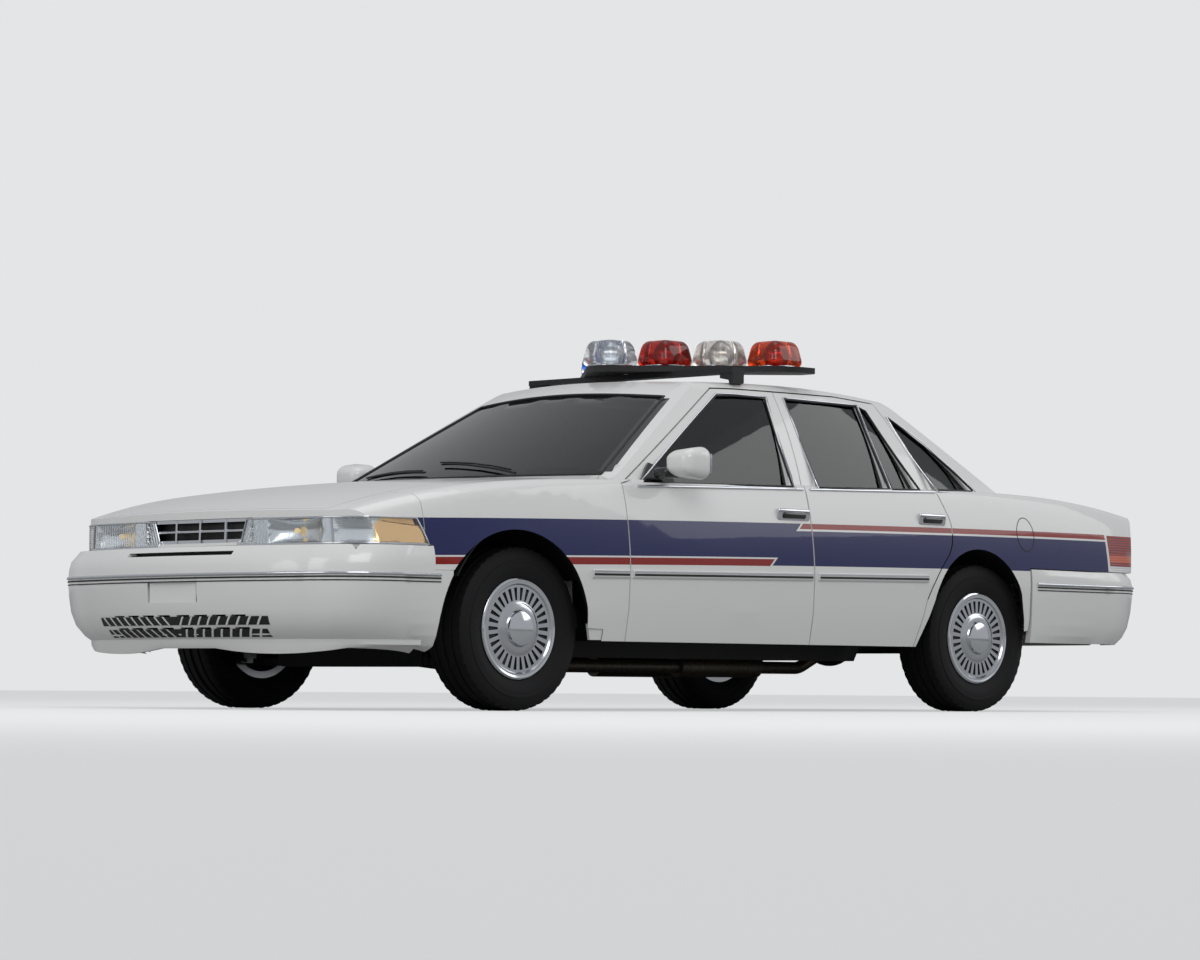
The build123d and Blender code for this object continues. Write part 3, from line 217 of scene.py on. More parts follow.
# a steel die leaves a finer and paler skin than sand
alloy = plain_finish("die_cast_aluminium", "#8D8F90", (1.8, 0.08, 5.0, 0.38, 0.55), Metallic=0.9,
                     Roughness=0.45)
# silver on glass: the sharpest mirror on the car
mirror_glass = plain_finish("silvered_mirror", "#D4DADF", (80, 0.002), Metallic=1.0, Roughness=0.02)
# an aluminium skin that heat has browned in patches
pipe_steel, tree, shader = finish("aluminised_steel", "#6E6A64", Metallic=0.85, Roughness=0.42)
noise = grain(tree, shader, 14, 0.05, 6.0, 0.34, 0.6)
heat = add(tree, "ShaderNodeMix",
           {0: noise.outputs["Fac"], 6: linear("#77736C"), 7: linear("#57483A")}, data_type="RGBA")
tree.links.new(heat.outputs[2], shader.inputs["Base Color"])

# %% Glass, rubber, plastic and coatings
# float glass tinted in the melt, with long, very shallow waves
tint = plain_finish("tinted_glass", "#303B36", (60, 0.02), Roughness=0.02, Transmission_Weight=1.0,
                    IOR=1.5)
# carbon-black rubber swallows light, and the mould leaves it matt
rubber = plain_finish("tyre_rubber", "#0F0F11", (1.2, 0.05, 6.0, 0.58, 0.78), Roughness=0.68,
                      Specular_IOR_Level=0.3)
# the etched grain of the mould breaks up the highlights
black_plastic = plain_finish("grained_black_plastic", "#101012", (1.4, 0.06, 4.0, 0.42, 0.6),
                             Roughness=0.5)
trim_grey = plain_finish("moulded_cabin_plastic", "#4A4745", (1.6, 0.08, 4.0, 0.55, 0.7),
                         Roughness=0.62)
# a thick, lumpy coat, sprayed on and left unpainted
underseal = plain_finish("sprayed_underseal", "#141415", (5, 0.5, 6.0, 0.6, 0.85), Roughness=0.72)
# stoved enamel on small parts: smooth and wet
gloss_black = plain_finish("gloss_black_enamel", "#0B0B0D", (1.0, 0.004), Roughness=0.18,
                           Coat_Weight=0.5)

# %% Woven cloth
# two greys in alternate threads, with a soft sheen from loose fibres
cloth, tree, shader = finish("woven_seat_cloth", "#3A3A44", Roughness=0.92, Sheen_Weight=0.25)
grain(tree, shader, 2.2, 0.35, 5.0)
place = add(tree, "ShaderNodeTexCoord")
threads = add(tree, "ShaderNodeTexWave",
              {"Vector": place.outputs["Object"], "Scale": 130.0, "Distortion": 1.4},
              bands_direction="Y")
weave = add(tree, "ShaderNodeMix",
            {0: threads.outputs["Fac"], 6: linear("#33333C"), 7: linear("#484854")},
            data_type="RGBA")
tree.links.new(weave.outputs[2], shader.inputs["Base Color"])
print("materials", len(bpy.data.materials))

# %% [markdown]
# ## Helpers for pieces
# A piece is built as a bmesh, given a finish, and made to ride on its CAD body. Most trim is the
# same on both sides, so one function also publishes the mirrored twin. Long trim is a row of
# closed rings with a skin bridged between them, which follows a curved panel better than a bent
# box would.


# %% From bmesh to object
def shaded(bm, name, material, sharp):
    """The bmesh as an object that shades smoothly except at folds above sharp degrees."""
    for edge in bm.edges:
        edge.smooth = len(edge.link_faces) == 2 and edge.calc_face_angle(0) < radians(sharp)
    for face in bm.faces:
        face.smooth = True
    mesh = bpy.data.meshes.new(name)
    bm.to_mesh(mesh)
    bm.free()
    mesh.materials.append(material)
    piece = bpy.data.objects.new(name, mesh)
    bpy.context.scene.collection.objects.link(piece)
    return piece


def publish(bm, name, material, body, sharp=40):
    """Makes the finished bmesh an object that rides on a body."""
    bmesh.ops.recalc_face_normals(bm, faces=bm.faces)
    piece = shaded(bm, name, material, sharp)
    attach(piece, body)
    return piece


def twins(bm, name, material, body, sharp=40):
    """The left piece and its mirrored twin; {} in the body's name is the hand."""
    other = bm.copy()
    bmesh.ops.scale(other, vec=(1, -1, 1), verts=other.verts)
    return (publish(bm, f"{name}_left", material, body.format("left"), sharp),
            publish(other, f"{name}_right", material, body.format("right"), sharp))


# %% Shapes that many pieces start from
def slab(size, centre, bevel=0.0, segments=2, turn=None):
    """A bevelled box of a given size as a bmesh."""
    bm = bmesh.new()
    bmesh.ops.create_cube(bm, size=1.0)
    bmesh.ops.scale(bm, vec=size, verts=bm.verts)
    if bevel:
        bmesh.ops.bevel(bm, geom=bm.edges[:], offset=bevel, segments=segments, profile=0.5,
                        affect="EDGES", material=-1)
    if turn is not None:
        bmesh.ops.transform(bm, matrix=turn, verts=bm.verts)
    bmesh.ops.translate(bm, vec=centre, verts=bm.verts)
    return bm


def ball(radius, centre):
    """A small bulb as a bmesh."""
    bm = bmesh.new()
    bmesh.ops.create_uvsphere(bm, u_segments=16, v_segments=10, radius=radius)
    bmesh.ops.translate(bm, vec=centre, verts=bm.verts)
    return bm


def skinned(bm, rings):
    """Bridges a row of closed rings of points and caps both ends."""
    loops = [[bm.edges.new(pair) for pair in zip(ring, ring[1:] + ring[:1])] for ring in rings]
    for a, b in zip(loops, loops[1:]):
        bmesh.ops.bridge_loops(bm, edges=a + b)
    for ring in (rings[0], rings[-1]):
        bmesh.ops.contextual_create(bm, geom=ring)
    return bm


def joined(parts):
    """Several bmeshes as one."""
    whole = bmesh.new()
    for part in parts:
        mesh = bpy.data.meshes.new("part")
        part.to_mesh(mesh)
        whole.from_mesh(mesh)
        bpy.data.meshes.remove(mesh)
        part.free()
    return whole


# %% Rods and turned shapes
def rod(points, radius, closed=False):
    """A round bar through a row of points."""
    curve = bpy.data.curves.new("rod", "CURVE")
    curve.dimensions = "3D"
    curve.bevel_depth = radius
    curve.bevel_resolution = 3
    curve.use_fill_caps = not closed
    spline = curve.splines.new("POLY")
    spline.points.add(len(points) - 1)
    for spot, at in zip(spline.points, points):
        spot.co = (*at, 1)
    spline.use_cyclic_u = closed
    holder = bpy.data.objects.new("rod", curve)
    mesh = bpy.data.meshes.new_from_object(holder)
    bm = bmesh.new()
    bm.from_mesh(mesh)
    bmesh.ops.remove_doubles(bm, verts=bm.verts, dist=1e-6)
    bpy.data.objects.remove(holder)
    return bm


def turned(profile, centre, steps=64, closed=False):
    """A profile of (y, radius) points spun about an axle line along Y."""
    bm = bmesh.new()
    ring = [bm.verts.new((0, y, r)) for y, r in profile]
    pairs = zip(ring, ring[1:] + ring[:1]) if closed else zip(ring, ring[1:])
    edges = [bm.edges.new(pair) for pair in pairs]
    bmesh.ops.spin(bm, geom=ring + edges, cent=(0, 0, 0), axis=(0, 1, 0), angle=2 * pi,
                   steps=steps, use_merge=True)
    bmesh.ops.remove_doubles(bm, verts=bm.verts, dist=1e-5)
    bmesh.ops.translate(bm, vec=centre, verts=bm.verts)
    return bm


# %% [markdown]
# ## Panels and solids from the CAD frame
# Each CAD mesh is loose triangles. A merged copy lets its shallow curves shade smoothly while the
# pressed edges stay crisp, so the copy stands for the node, in the node's own place.

# %% Which finish each node gets
PAINTED = ["bonnet", "boot_lid", "roof_panel", "cowl_firewall", "rear_panel", "front_bumper",
           "rear_bumper"]
STRIPED = ["front_wings", "header_panel", "side_frame_left", "side_frame_right",
           "front_door_left", "front_door_right", "rear_door_left", "rear_door_right"]
SEALED = ("chassis_frame", "floor_pan", "suspension_arms", "springs", "rear_axle",
          "propeller_shaft", "fuel_tank", "wheel_well_liners")
DRESS = {
    **{n: enamel for n in PAINTED},
    **{n: striped for n in STRIPED},
    **{n: tint for n in nodes if "glass" in n or n in ("windscreen", "rear_window")},
    **{n: vane_chrome for n in nodes if n.startswith(("wheel_front", "wheel_rear"))},
    **{n: underseal for n in SEALED},
    **{n: cast_iron for n in ("knuckle_left", "knuckle_right", "engine_block")},
    "gearbox": alloy, "radiator": alloy, "exhaust_pipes": pipe_steel, "grille": chrome,
    **{n: black_plastic for n in ("light_bar_base", "steering_column", "steering_wheel")},
    "dashboard": trim_grey, "rear_shelf": trim_grey,
}


# %% Dress the CAD nodes
def dress(node, material):
    """A merged, smooth-shaded copy of a CAD node that stands for it."""
    bm = bmesh.new()
    bm.from_mesh(nodes[node].data)
    bmesh.ops.remove_doubles(bm, verts=bm.verts, dist=2e-5)
    for layer in list(bm.loops.layers.float_vector.values()):
        bm.loops.layers.float_vector.remove(layer)
    piece = shaded(bm, f"{node}_skin", material, 32)
    # the copy keeps the CAD mesh's own normals otherwise, which would override the smoothing
    if "custom_normal" in piece.data.attributes:
        piece.data.attributes.remove(piece.data.attributes["custom_normal"])
    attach(piece, rides_on[node])
    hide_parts(node)
    return piece


dressed = {node: dress(node, material) for node, material in DRESS.items() if node in nodes}
print("dressed", len(dressed), "left", sorted(set(nodes) - set(dressed)))

# %% [markdown]
# ## Where the skin is
# Trim is stuck or clipped to the panels, so its place is read from them: a ray from the car's left
# side finds how far out the skin stands at any length and height.

# %% Ray tests against the panels
SIDE_NODES = ("front_wings", "front_door_left", "rear_door_left", "side_frame_left",
              "front_bumper", "rear_bumper", "header_panel")
FROM_LEFT, FROM_FRONT, FROM_ABOVE = (0, -1, 0), (-1, 0, 0), (0, 0, -1)


def tree_of(names):
    """The meshes of some nodes as one tree that rays can be tested against."""
    verts, faces = [], []
    for name in names:
        data = nodes[name].data
        start = len(verts)
        verts += [v.co.copy() for v in data.vertices]
        faces += [[start + i for i in p.vertices] for p in data.polygons]
    return BVHTree.FromPolygons(verts, faces)


def cast(panels, start, way):
    """Where a ray first meets the panels, or None."""
    return panels.ray_cast(Vector(start), Vector(way))[0]


side_tree = tree_of(SIDE_NODES)
WAIST_Y = 0.97


def wall(x, z, out=0.0):
    """A point on the left side's skin, standing out by out."""
    for shift in (0.0, 0.012, -0.012, 0.03, -0.03):
        hit = cast(side_tree, (x + shift, 2, z), FROM_LEFT)
        if hit is not None:
            return Vector((x, hit.y + out, z))
    return Vector((x, WAIST_Y + out, z))


# %% [markdown]
# ## Side mouldings
# A bright strip over a dark rubber line runs along the wings, doors and bumpers, a little higher
# towards the tail. Each length stops short of the panel's own edge so that the doors can open.

# %% Mouldings on wings and doors
MOULDING_FRONT, MOULDING_SLOPE = (1.29, 0.566), -0.0135
LENGTHS = (
    ("wing_moulding", 1.262, 1.047, "body"),
    ("front_door_moulding", 1.026, -0.092, "front_door_{}"),
    ("rear_door_moulding", -0.13, -0.868, "rear_door_{}"),
)
# label, how much shorter at each end, rise over the line, height, how far out, finish
LAYERS = (
    ("", 0.0, 0.0, 0.036, 0.010, enamel),
    ("_rubber", 0.004, -0.003, 0.014, 0.0115, black_plastic),
    ("_bright", 0.003, 0.010, 0.009, 0.013, chrome),
)
MOULDING_STEPS, MOULDING_CROWN, MOULDING_SUNK = 14, 0.35, -0.002


def moulding(x0, x1, rise, height, out):
    """A moulding that follows the left skin between two lengths, with a rounded section."""
    edge = out * MOULDING_CROWN
    section = ((-0.5, MOULDING_SUNK), (-0.5, edge), (-0.3, out), (0.3, out), (0.5, edge),
               (0.5, MOULDING_SUNK))
    bm = bmesh.new()
    rings = []
    for i in range(MOULDING_STEPS + 1):
        x = x0 + (x1 - x0) * i / MOULDING_STEPS
        z = MOULDING_FRONT[1] + MOULDING_SLOPE * (x - MOULDING_FRONT[0]) + rise
        middle_y = wall(x, z).y
        rings.append([bm.verts.new((x, (middle_y + wall(x, z + share * height).y) / 2 + stand,
                                    z + share * height)) for share, stand in section])
    return skinned(bm, rings)


for name, x0, x1, body in LENGTHS:
    for label, shorter, rise, height, out, material in LAYERS:
        twins(moulding(x0 - shorter, x1 + shorter, rise, height, out), f"{name}{label}", material,
              body)
print("mouldings", len(LENGTHS))

# %% [markdown]
# ## Bumper strips
# The bumper covers wear the same bright line all round. Its points are found by rays that come in
# from outside at one height, from the front corner round to the side.

# %% Bright line round each bumper
bumper_trees = {name: tree_of([name]) for name in ("front_bumper", "rear_bumper")}
# middle of the fan of rays, height of the line, half the fan and the way it faces, in degrees
FANS = (("front_bumper", 1.75, 0.541, 70, 0), ("rear_bumper", -1.85, 0.588, 101, 180))
FAN_RAYS = 60
LINES = (("bright", 0, 0.0065, chrome), ("rubber", -0.014, 0.0035, black_plastic),
         ("lower", -0.028, 0.0025, black_plastic))


def bumper_line(name, centre_x, z, angles, out):
    """Points round a bumper, found by rays from outside towards its middle."""
    points = []
    for angle in angles:
        way = Vector((cos(radians(angle)), sin(radians(angle)), 0))
        hit = cast(bumper_trees[name], Vector((centre_x, 0, z)) + way * 3, -way)
        if hit is not None:
            points.append(hit + way * out)
    return points


for name, centre_x, z, spread, turn in FANS:
    angles = [turn - spread + 2 * spread * i / FAN_RAYS for i in range(FAN_RAYS + 1)]
    for label, height, size, material in LINES:
        line = bumper_line(name, centre_x, z + height, angles, 0.001)
        publish(rod(line, size), f"{name}_{label}_line", material, "body")

# %% [markdown]
# ## Window frames
# A black rubber channel holds each pane, and a thin bright moulding runs round it. Both follow the
# outline of the opening. The rays only meet metal beside the opening, so a smooth surface is
# fitted to those points and carries the trim past the gaps between door and post.

# %% The skin round an opening
house_tree = tree_of(("front_door_left", "rear_door_left", "side_frame_left", "roof_panel"))
# corners of each opening in length and height, and the body that its trim rides on
WINDOWS = {
    "front": (((0.905, 0.958), (0.182, 1.372), (0.060, 1.377), (-0.122, 1.378), (-0.032, 0.978)),
              "front_door_{}"),
    "rear": (((-0.205, 0.980), (-0.246, 1.378), (-0.724, 1.372), (-0.686, 0.992)),
             "rear_door_{}"),
    "vent": (((-0.702, 0.992), (-0.742, 1.370), (-0.786, 1.352), (-0.898, 0.998)),
             "rear_door_{}"),
    "quarter": (((-1.024, 1.002), (-0.928, 1.330), (-0.985, 1.300), (-1.120, 1.210),
                 (-1.240, 1.100), (-1.308, 1.012), (-1.290, 1.006)), "body"),
}


def middle_of(corners):
    """The mean of some corners."""
    return sum((Vector(c) for c in corners), Vector((0, 0))) / len(corners)


def skin_fit(corners):
    """Coefficients of a smooth skin y(x, z) round an opening, from rays that hit the panels."""
    middle = middle_of(corners)
    rows = []
    for a, b in zip(corners, corners[1:] + corners[:1]):
        for i in range(24):
            edge = Vector(a).lerp(Vector(b), i / 24)
            for grow in (0.006, 0.014, 0.024):
                at = edge + (edge - middle).normalized() * grow
                hit = cast(house_tree, (at.x, 2, at.y), FROM_LEFT)
                if hit is not None:
                    rows.append((at.x, at.y, hit.y))
    rows = np.array(rows)
    # each pass drops the points that lie off the skin, such as those in a shut line
    for limit in (0.03, 0.008, 0.004):
        terms = np.stack([rows[:, 0] ** 0, rows[:, 0], rows[:, 1], rows[:, 1] ** 2], axis=1)
        fit = np.linalg.lstsq(terms, rows[:, 2], rcond=None)[0]
        rows = rows[abs(terms @ fit - rows[:, 2]) < limit]
    return fit


def on_skin(fit, x, z, out):
    """A point on a fitted skin, standing out by out."""
    return Vector((x, fit[0] + fit[1] * x + fit[2] * z + fit[3] * z * z + out, z))


def outline_points(corners, grow, out, step=0.05):
    """Points round an opening, grown outwards and laid on the greenhouse."""
    fit = skin_fit(corners)
    middle = middle_of(corners)
    grown = [Vector(c) + (Vector(c) - middle).normalized() * grow for c in corners]
    points = []
    for a, b in zip(grown, grown[1:] + grown[:1]):
        count = max(1, int((b - a).length / step))
        points += [on_skin(fit, *a.lerp(b, i / count), out) for i in range(count)]
    return points


# %% Channels and bright mouldings
for name, (corners, body) in WINDOWS.items():
    channel = rod(outline_points(corners, 0.002, -0.002), 0.0052, closed=True)
    twins(channel, f"{name}_window_rubber", black_plastic, body)
    if name != "vent":
        bright = rod(outline_points(corners, 0.013, 0.003), 0.0034, closed=True)
        twins(bright, f"{name}_window_bright", chrome, body)
print("windows", len(WINDOWS))

# %% [markdown]
# ## Rubbers round the two screens
# A screen is bonded in, and a soft black rubber hides the glue. Its outline is four gently bowed
# edges, laid on the glass by rays along the car. Beside the windscreen a black edge also covers
# the line where the glass meets its post.

# %% Screen rubbers
# half width and height at the foot, then at the head, heights in the middle, and the way it faces
SCREENS = (("windscreen", 0.800, 0.992, 0.578, 1.362, 1.388, 0.990, 1),
           ("rear_window", 0.715, 1.022, 0.548, 1.345, 1.372, 1.026, -1))
ALONG = [i / 24 for i in range(25)]
UPWARDS = [i / 12 for i in range(1, 12)]
for name, foot_y, foot_z, head_y, head_z, head_mid, foot_mid, way in SCREENS:
    screen_tree = tree_of((name, "side_frame_left", "side_frame_right", "roof_panel",
                           "cowl_firewall"))
    edge = [(head_y * (2 * k - 1), head_z + (head_mid - head_z) * sin(pi * k)) for k in ALONG]
    edge += [(head_y + (foot_y - head_y) * k, head_z + (foot_z - head_z) * k) for k in UPWARDS]
    edge += [(foot_y * (1 - 2 * k), foot_z + (foot_mid - foot_z) * sin(pi * k)) for k in ALONG]
    edge += [(-foot_y + (foot_y - head_y) * k, foot_z + (head_z - foot_z) * k) for k in UPWARDS]
    line = []
    for y, z in ((y * 0.994, z - 0.002) for y, z in edge):
        hit = cast(screen_tree, (3 * way, y, z), (-way, 0, 0))
        if hit is not None:
            line.append(Vector((hit.x + 0.001 * way, y, z)))
    publish(rod(line, 0.0065, closed=True), f"{name}_rubber", black_plastic, "body")

# %% Dark edge between the windscreen's glass and the posts
pillar_tree = tree_of(("windscreen", "side_frame_left", "roof_panel"))
EDGE_INNER, EDGE_OUTER, EDGE_PROUD, EDGE_SUNK = -0.026, 0.028, 0.0022, -0.002
_, foot_y, foot_z, head_y, head_z = SCREENS[0][:5]
dark_edge = bmesh.new()
rings = []
for k in (0.03 + 0.94 * i / 14 for i in range(15)):
    y, z = head_y + (foot_y - head_y) * k, head_z + (foot_z - head_z) * k
    ring = []
    for shift, lift in ((EDGE_INNER, EDGE_PROUD), (EDGE_OUTER, EDGE_PROUD),
                        (EDGE_OUTER, EDGE_SUNK), (EDGE_INNER, EDGE_SUNK)):
        hit = cast(pillar_tree, (3, y + shift, z), FROM_FRONT)
        ring.append(dark_edge.verts.new((hit.x + lift, y + shift, z)))
    rings.append(ring)
twins(skinned(dark_edge, rings), "windscreen_edge", gloss_black, "body")

# %% Belt mouldings along the foot of the side windows
BELTS = (("front_belt", 0.95, -0.092, "front_door_{}"),
         ("rear_belt", -0.135, -0.985, "rear_door_{}"))
BELT_Z, BELT_SLOPE, BELT_STEPS = 0.962, -0.024, 16
for name, x0, x1, body in BELTS:
    lengths = [x0 + (x1 - x0) * i / BELT_STEPS for i in range(BELT_STEPS + 1)]
    points = [wall(x, BELT_Z + BELT_SLOPE * (x - 0.1), 0.003) for x in lengths]
    twins(rod(points, 0.0055), f"{name}_moulding", chrome, body)

# %% [markdown]
# ## Door handles, fuel flap and mirrors
# Each handle is a bright bezel with a dark grip in a shallow cup. The flap is a disc cut into the
# left quarter, so only its shut line shows. A mirror is a moulded housing that tapers forwards,
# on a foot that stands on a small sail in the front corner of the window.

# %% Handles
# name, length and height of the middle, length of the bezel, body
HANDLES = (("front_handle", 0.005, 0.852, 0.205, "front_door_{}"),
           ("rear_handle", -0.925, 0.862, 0.180, "rear_door_{}"))
for name, x, z, length, body in HANDLES:
    skin_y = wall(x, z).y
    tip = Matrix.Rotation(radians(-9), 4, "X")
    bezel = slab((length, 0.020, 0.052), (x, skin_y + 0.004, z), 0.009, 4, tip)
    grip = slab((length * 0.74, 0.030, 0.030), (x + 0.004, skin_y + 0.007, z - 0.003), 0.012, 4,
                tip)
    twins(bezel, f"{name}_bezel", chrome, body)
    twins(grip, f"{name}_grip", gloss_black, body)

# %% Fuel flap shut line
FLAP_X, FLAP_Z, FLAP_HALF_HEIGHT, FLAP_HALF_LENGTH = -1.60, 0.815, 0.0775, 0.06355
ring = [wall(FLAP_X + FLAP_HALF_LENGTH * cos(a), FLAP_Z + FLAP_HALF_HEIGHT * sin(a), -0.0006)
        for a in (2 * pi * i / 48 for i in range(48))]
publish(rod(ring, 0.0022, closed=True), "fuel_flap_line", black_plastic, "body")

# %% Mirrors
MIRROR_LENGTH, MIRROR_HEIGHT = 0.150, 0.142
lo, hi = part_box("door_mirror_left")
inner_y, outer_y = lo[1] + 0.05, hi[1]
mid_x, mid_z = hi[0] - 0.07 - MIRROR_LENGTH / 2, hi[2] - MIRROR_HEIGHT / 2
mid_y, reach_y = (inner_y + outer_y) / 2, outer_y - inner_y
housing = slab((MIRROR_LENGTH, reach_y, MIRROR_HEIGHT), (0, 0, 0), 0.046, 6)
for vert in housing.verts:
    # narrower towards its nose, and lower towards its foot
    front = vert.co.x / MIRROR_LENGTH + 0.5
    reach = vert.co.y / reach_y + 0.5
    vert.co.z *= (1 - 0.30 * front ** 2) * (0.80 + 0.20 * min(1.0, reach * 2))
    vert.co.y *= 1 - 0.12 * front ** 2
bmesh.ops.translate(housing, vec=(mid_x, mid_y, mid_z), verts=housing.verts)
shells = twins(housing, "mirror_housing", enamel, "front_door_{}", sharp=60)
foot = slab((0.085, 0.085, 0.045), (mid_x + 0.03, lo[1] + 0.042, mid_z - 0.040), 0.014, 3)
twins(foot, "mirror_foot", gloss_black, "front_door_{}")
SAIL = ((0.900, 0.962), (0.700, 0.968), (0.700, 1.015), (0.800, 1.048), (0.838, 1.020))
sail_fit = skin_fit(WINDOWS["front"][0])
sail = bmesh.new()
plates = [[sail.verts.new(on_skin(sail_fit, x, z, out)) for x, z in SAIL]
          for out in (0.006, -0.004)]
for plate in plates:
    bmesh.ops.contextual_create(sail, geom=plate)
outer, inner = plates
for k in range(len(SAIL)):
    after = (k + 1) % len(SAIL)
    sail.faces.new((outer[k], outer[after], inner[after], inner[k]))
twins(sail, "mirror_sail", gloss_black, "front_door_{}")
glass = slab((0.004, 0.128, 0.080), (mid_x - MIRROR_LENGTH / 2 + 0.0005, mid_y + 0.004, mid_z),
             0.0018, 2)
twins(glass, "mirror_glass", mirror_glass, "front_door_{}")
for shell, (hand, _) in zip(shells, HANDS):
    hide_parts(f"door_mirror_{hand}")
print("mirror reach", round(reach_y * 1000), "mm")

# %% [markdown]
# ## Headlamps
# A composite lamp is a clear fluted lens over chromed bowls, with a turn lamp at the corner whose
# rear half is amber. Both are swept round the corner of the nose by a fan of rays. The lens is a
# real sheet with a wall, so that light bends in its flutes, and the bowls are pressed into a
# second sheet behind it.

# %% Lamp materials
# clear moulded plastic, with its amber end dyed a warm, pale tone
AMBER_FROM_Y = 0.893
lens_glass, tree, shader = finish("fluted_lamp_lens", "#F3F6F8", Roughness=0.04,
                                  Transmission_Weight=1.0, IOR=1.45)
place = add(tree, "ShaderNodeTexCoord")
point = add(tree, "ShaderNodeSeparateXYZ", {0: place.outputs["Object"]})
away = add(tree, "ShaderNodeMath", {0: point.outputs[1]}, operation="ABSOLUTE")
amber_edge = add(tree, "ShaderNodeMath", {0: away.outputs[0], 1: AMBER_FROM_Y},
                 operation="GREATER_THAN")
lens_colour = add(tree, "ShaderNodeMix",
                  {0: amber_edge.outputs[0], 6: linear("#F3F6F8"), 7: linear("#FFE9CA")},
                  data_type="RGBA")
tree.links.new(lens_colour.outputs[2], shader.inputs["Base Color"])
grain(tree, shader, 9, 0.04)
# aluminium laid on moulded plastic in a vacuum: bright, with a faint ripple
bowl_chrome = plain_finish("aluminised_bowl", "#DADDE0", (7, 0.08, 2.0, 0.12, 0.22), Metallic=1.0,
                           Roughness=0.16)
# the bulb is unlit; its glass gets a faint painted glow so that it shows against the bowl
bulb_glass, tree, shader = finish("bulb_glass_painted_glow", "#FFE3A8", Roughness=0.12)
grain(tree, shader, 5, 0.02)
shader.inputs["Emission Color"].default_value = linear("#FFD890")
shader.inputs["Emission Strength"].default_value = 0.5

# %% The lamp's face
LAMP_CENTRE = (2.05, 0.35)
LAMP_LOW, LAMP_HIGH = 0.662, 0.765
# directions of the inner and rear ends, at the foot and at the top, in degrees
LAMP_INNER, LAMP_REAR = (-11.5, -7.0), (80.6, 75.5)
LAMP_REACH = 0.45
SPLIT_Y, BULB_Y = 0.748, 0.562
nose_tree = tree_of(("headlamps", "header_panel", "grille", "front_wings"))


def lamp_point(share, height, out):
    """A point on the lamp's face: share runs round the corner, height from foot to top."""
    low_end, high_end = ([a + (b - a) * height for a, b in (LAMP_INNER, LAMP_REAR)])
    angle = radians(low_end + (high_end - low_end) * share)
    way = Vector((cos(angle), sin(angle), 0))
    z = LAMP_LOW + (LAMP_HIGH - LAMP_LOW) * height
    reach = 0.0
    # a ray that slips through a joint is sent again a little higher or lower
    for shift in (0.0, 0.004, -0.004, 0.009, -0.009, 0.016, -0.016):
        hit = cast(nose_tree, Vector((*LAMP_CENTRE, z + shift)) + way * 2, -way)
        if hit is not None:
            reach = max(reach, (hit.xy - Vector(LAMP_CENTRE)).length)
            if reach > LAMP_REACH:
                break
    return Vector((*LAMP_CENTRE, z)) + way * (reach + out)


def share_at(y):
    """How far round the lamp its middle line reaches y."""
    return min((abs(lamp_point(i / 400, 0.5, 0).y - y), i / 400) for i in range(401))[1]


def lamp_sheet(depth_of, columns, rows, thick):
    """A thin sheet over the lamp's face whose depth changes from place to place."""
    bm = bmesh.new()
    grids = []
    for extra in (0.0, -thick):
        grids.append([[bm.verts.new(lamp_point(i / columns, j / rows,
                                               depth_of(i / columns, j / rows) + extra))
                       for j in range(rows + 1)] for i in range(columns + 1)])
    for grid in grids:
        for a, b in zip(grid, grid[1:]):
            for j in range(rows):
                bm.faces.new((a[j], b[j], b[j + 1], a[j + 1]))
    outer, inner = grids
    rim = ([(i, 0) for i in range(columns)] + [(columns, j) for j in range(rows)]
           + [(i, rows) for i in range(columns, 0, -1)] + [(0, j) for j in range(rows, 0, -1)])
    for (a, b), (c, d) in zip(rim, rim[1:] + rim[:1]):
        bm.faces.new((outer[a][b], outer[c][d], inner[c][d], inner[a][b]))
    return bm


# %% Lenses and bowls
FLUTES, RIBS, LENS_PROUD, FLUTE_DEPTH = 46, 11, 0.0060, 0.0011
# inner and outer end of each bowl, and its depth
BOWLS = ((0.425, 0.700, 0.040), (0.765, 0.93, 0.020))


def flutes(share, height):
    """Upright flutes on the main lens and level ribs on the corner lens."""
    main = lamp_point(share, height, 0).y < SPLIT_Y
    ripple = sin(share * 2 * pi * FLUTES) if main else sin(height * 2 * pi * RIBS)
    return LENS_PROUD + FLUTE_DEPTH * ripple


def bowls(share, height):
    """Two bowls, a deep one behind the main lens and a shallow one at the corner."""
    y = lamp_point(share, height, 0).y
    for low, high, depth in BOWLS:
        if low < y < high:
            u = (y - low) / (high - low)
            across, up = 4 * u * (1 - u), max(0.0, 4 * height * (1 - height))
            return 0.001 - depth * across ** 0.6 * up ** 0.45
    return 0.001


lenses = twins(lamp_sheet(flutes, 276, 44, 0.003), "headlamp_lens", lens_glass, "body", sharp=70)
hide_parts("headlamps")
twins(lamp_sheet(bowls, 120, 20, 0.0008), "headlamp_bowl", bowl_chrome, "body", sharp=50)

# %% Bezel, divider, bulb and sill
outline = ([(i / 60, 0) for i in range(60)] + [(1, j / 6) for j in range(6)]
           + [(1 - i / 60, 1) for i in range(60)] + [(0, 1 - j / 6) for j in range(6)])
bezel = rod([lamp_point(a, b, 0.004) for a, b in outline], 0.0042, closed=True)
twins(bezel, "headlamp_bezel", chrome, "body")
split = share_at(SPLIT_Y)
divider = rod([lamp_point(split, j / 6, 0.005) for j in range(7)], 0.004)
twins(divider, "headlamp_divider", chrome, "body")
twins(ball(0.011, lamp_point(share_at(BULB_Y), 0.5, -0.022)), "headlamp_bulb", bulb_glass, "body")

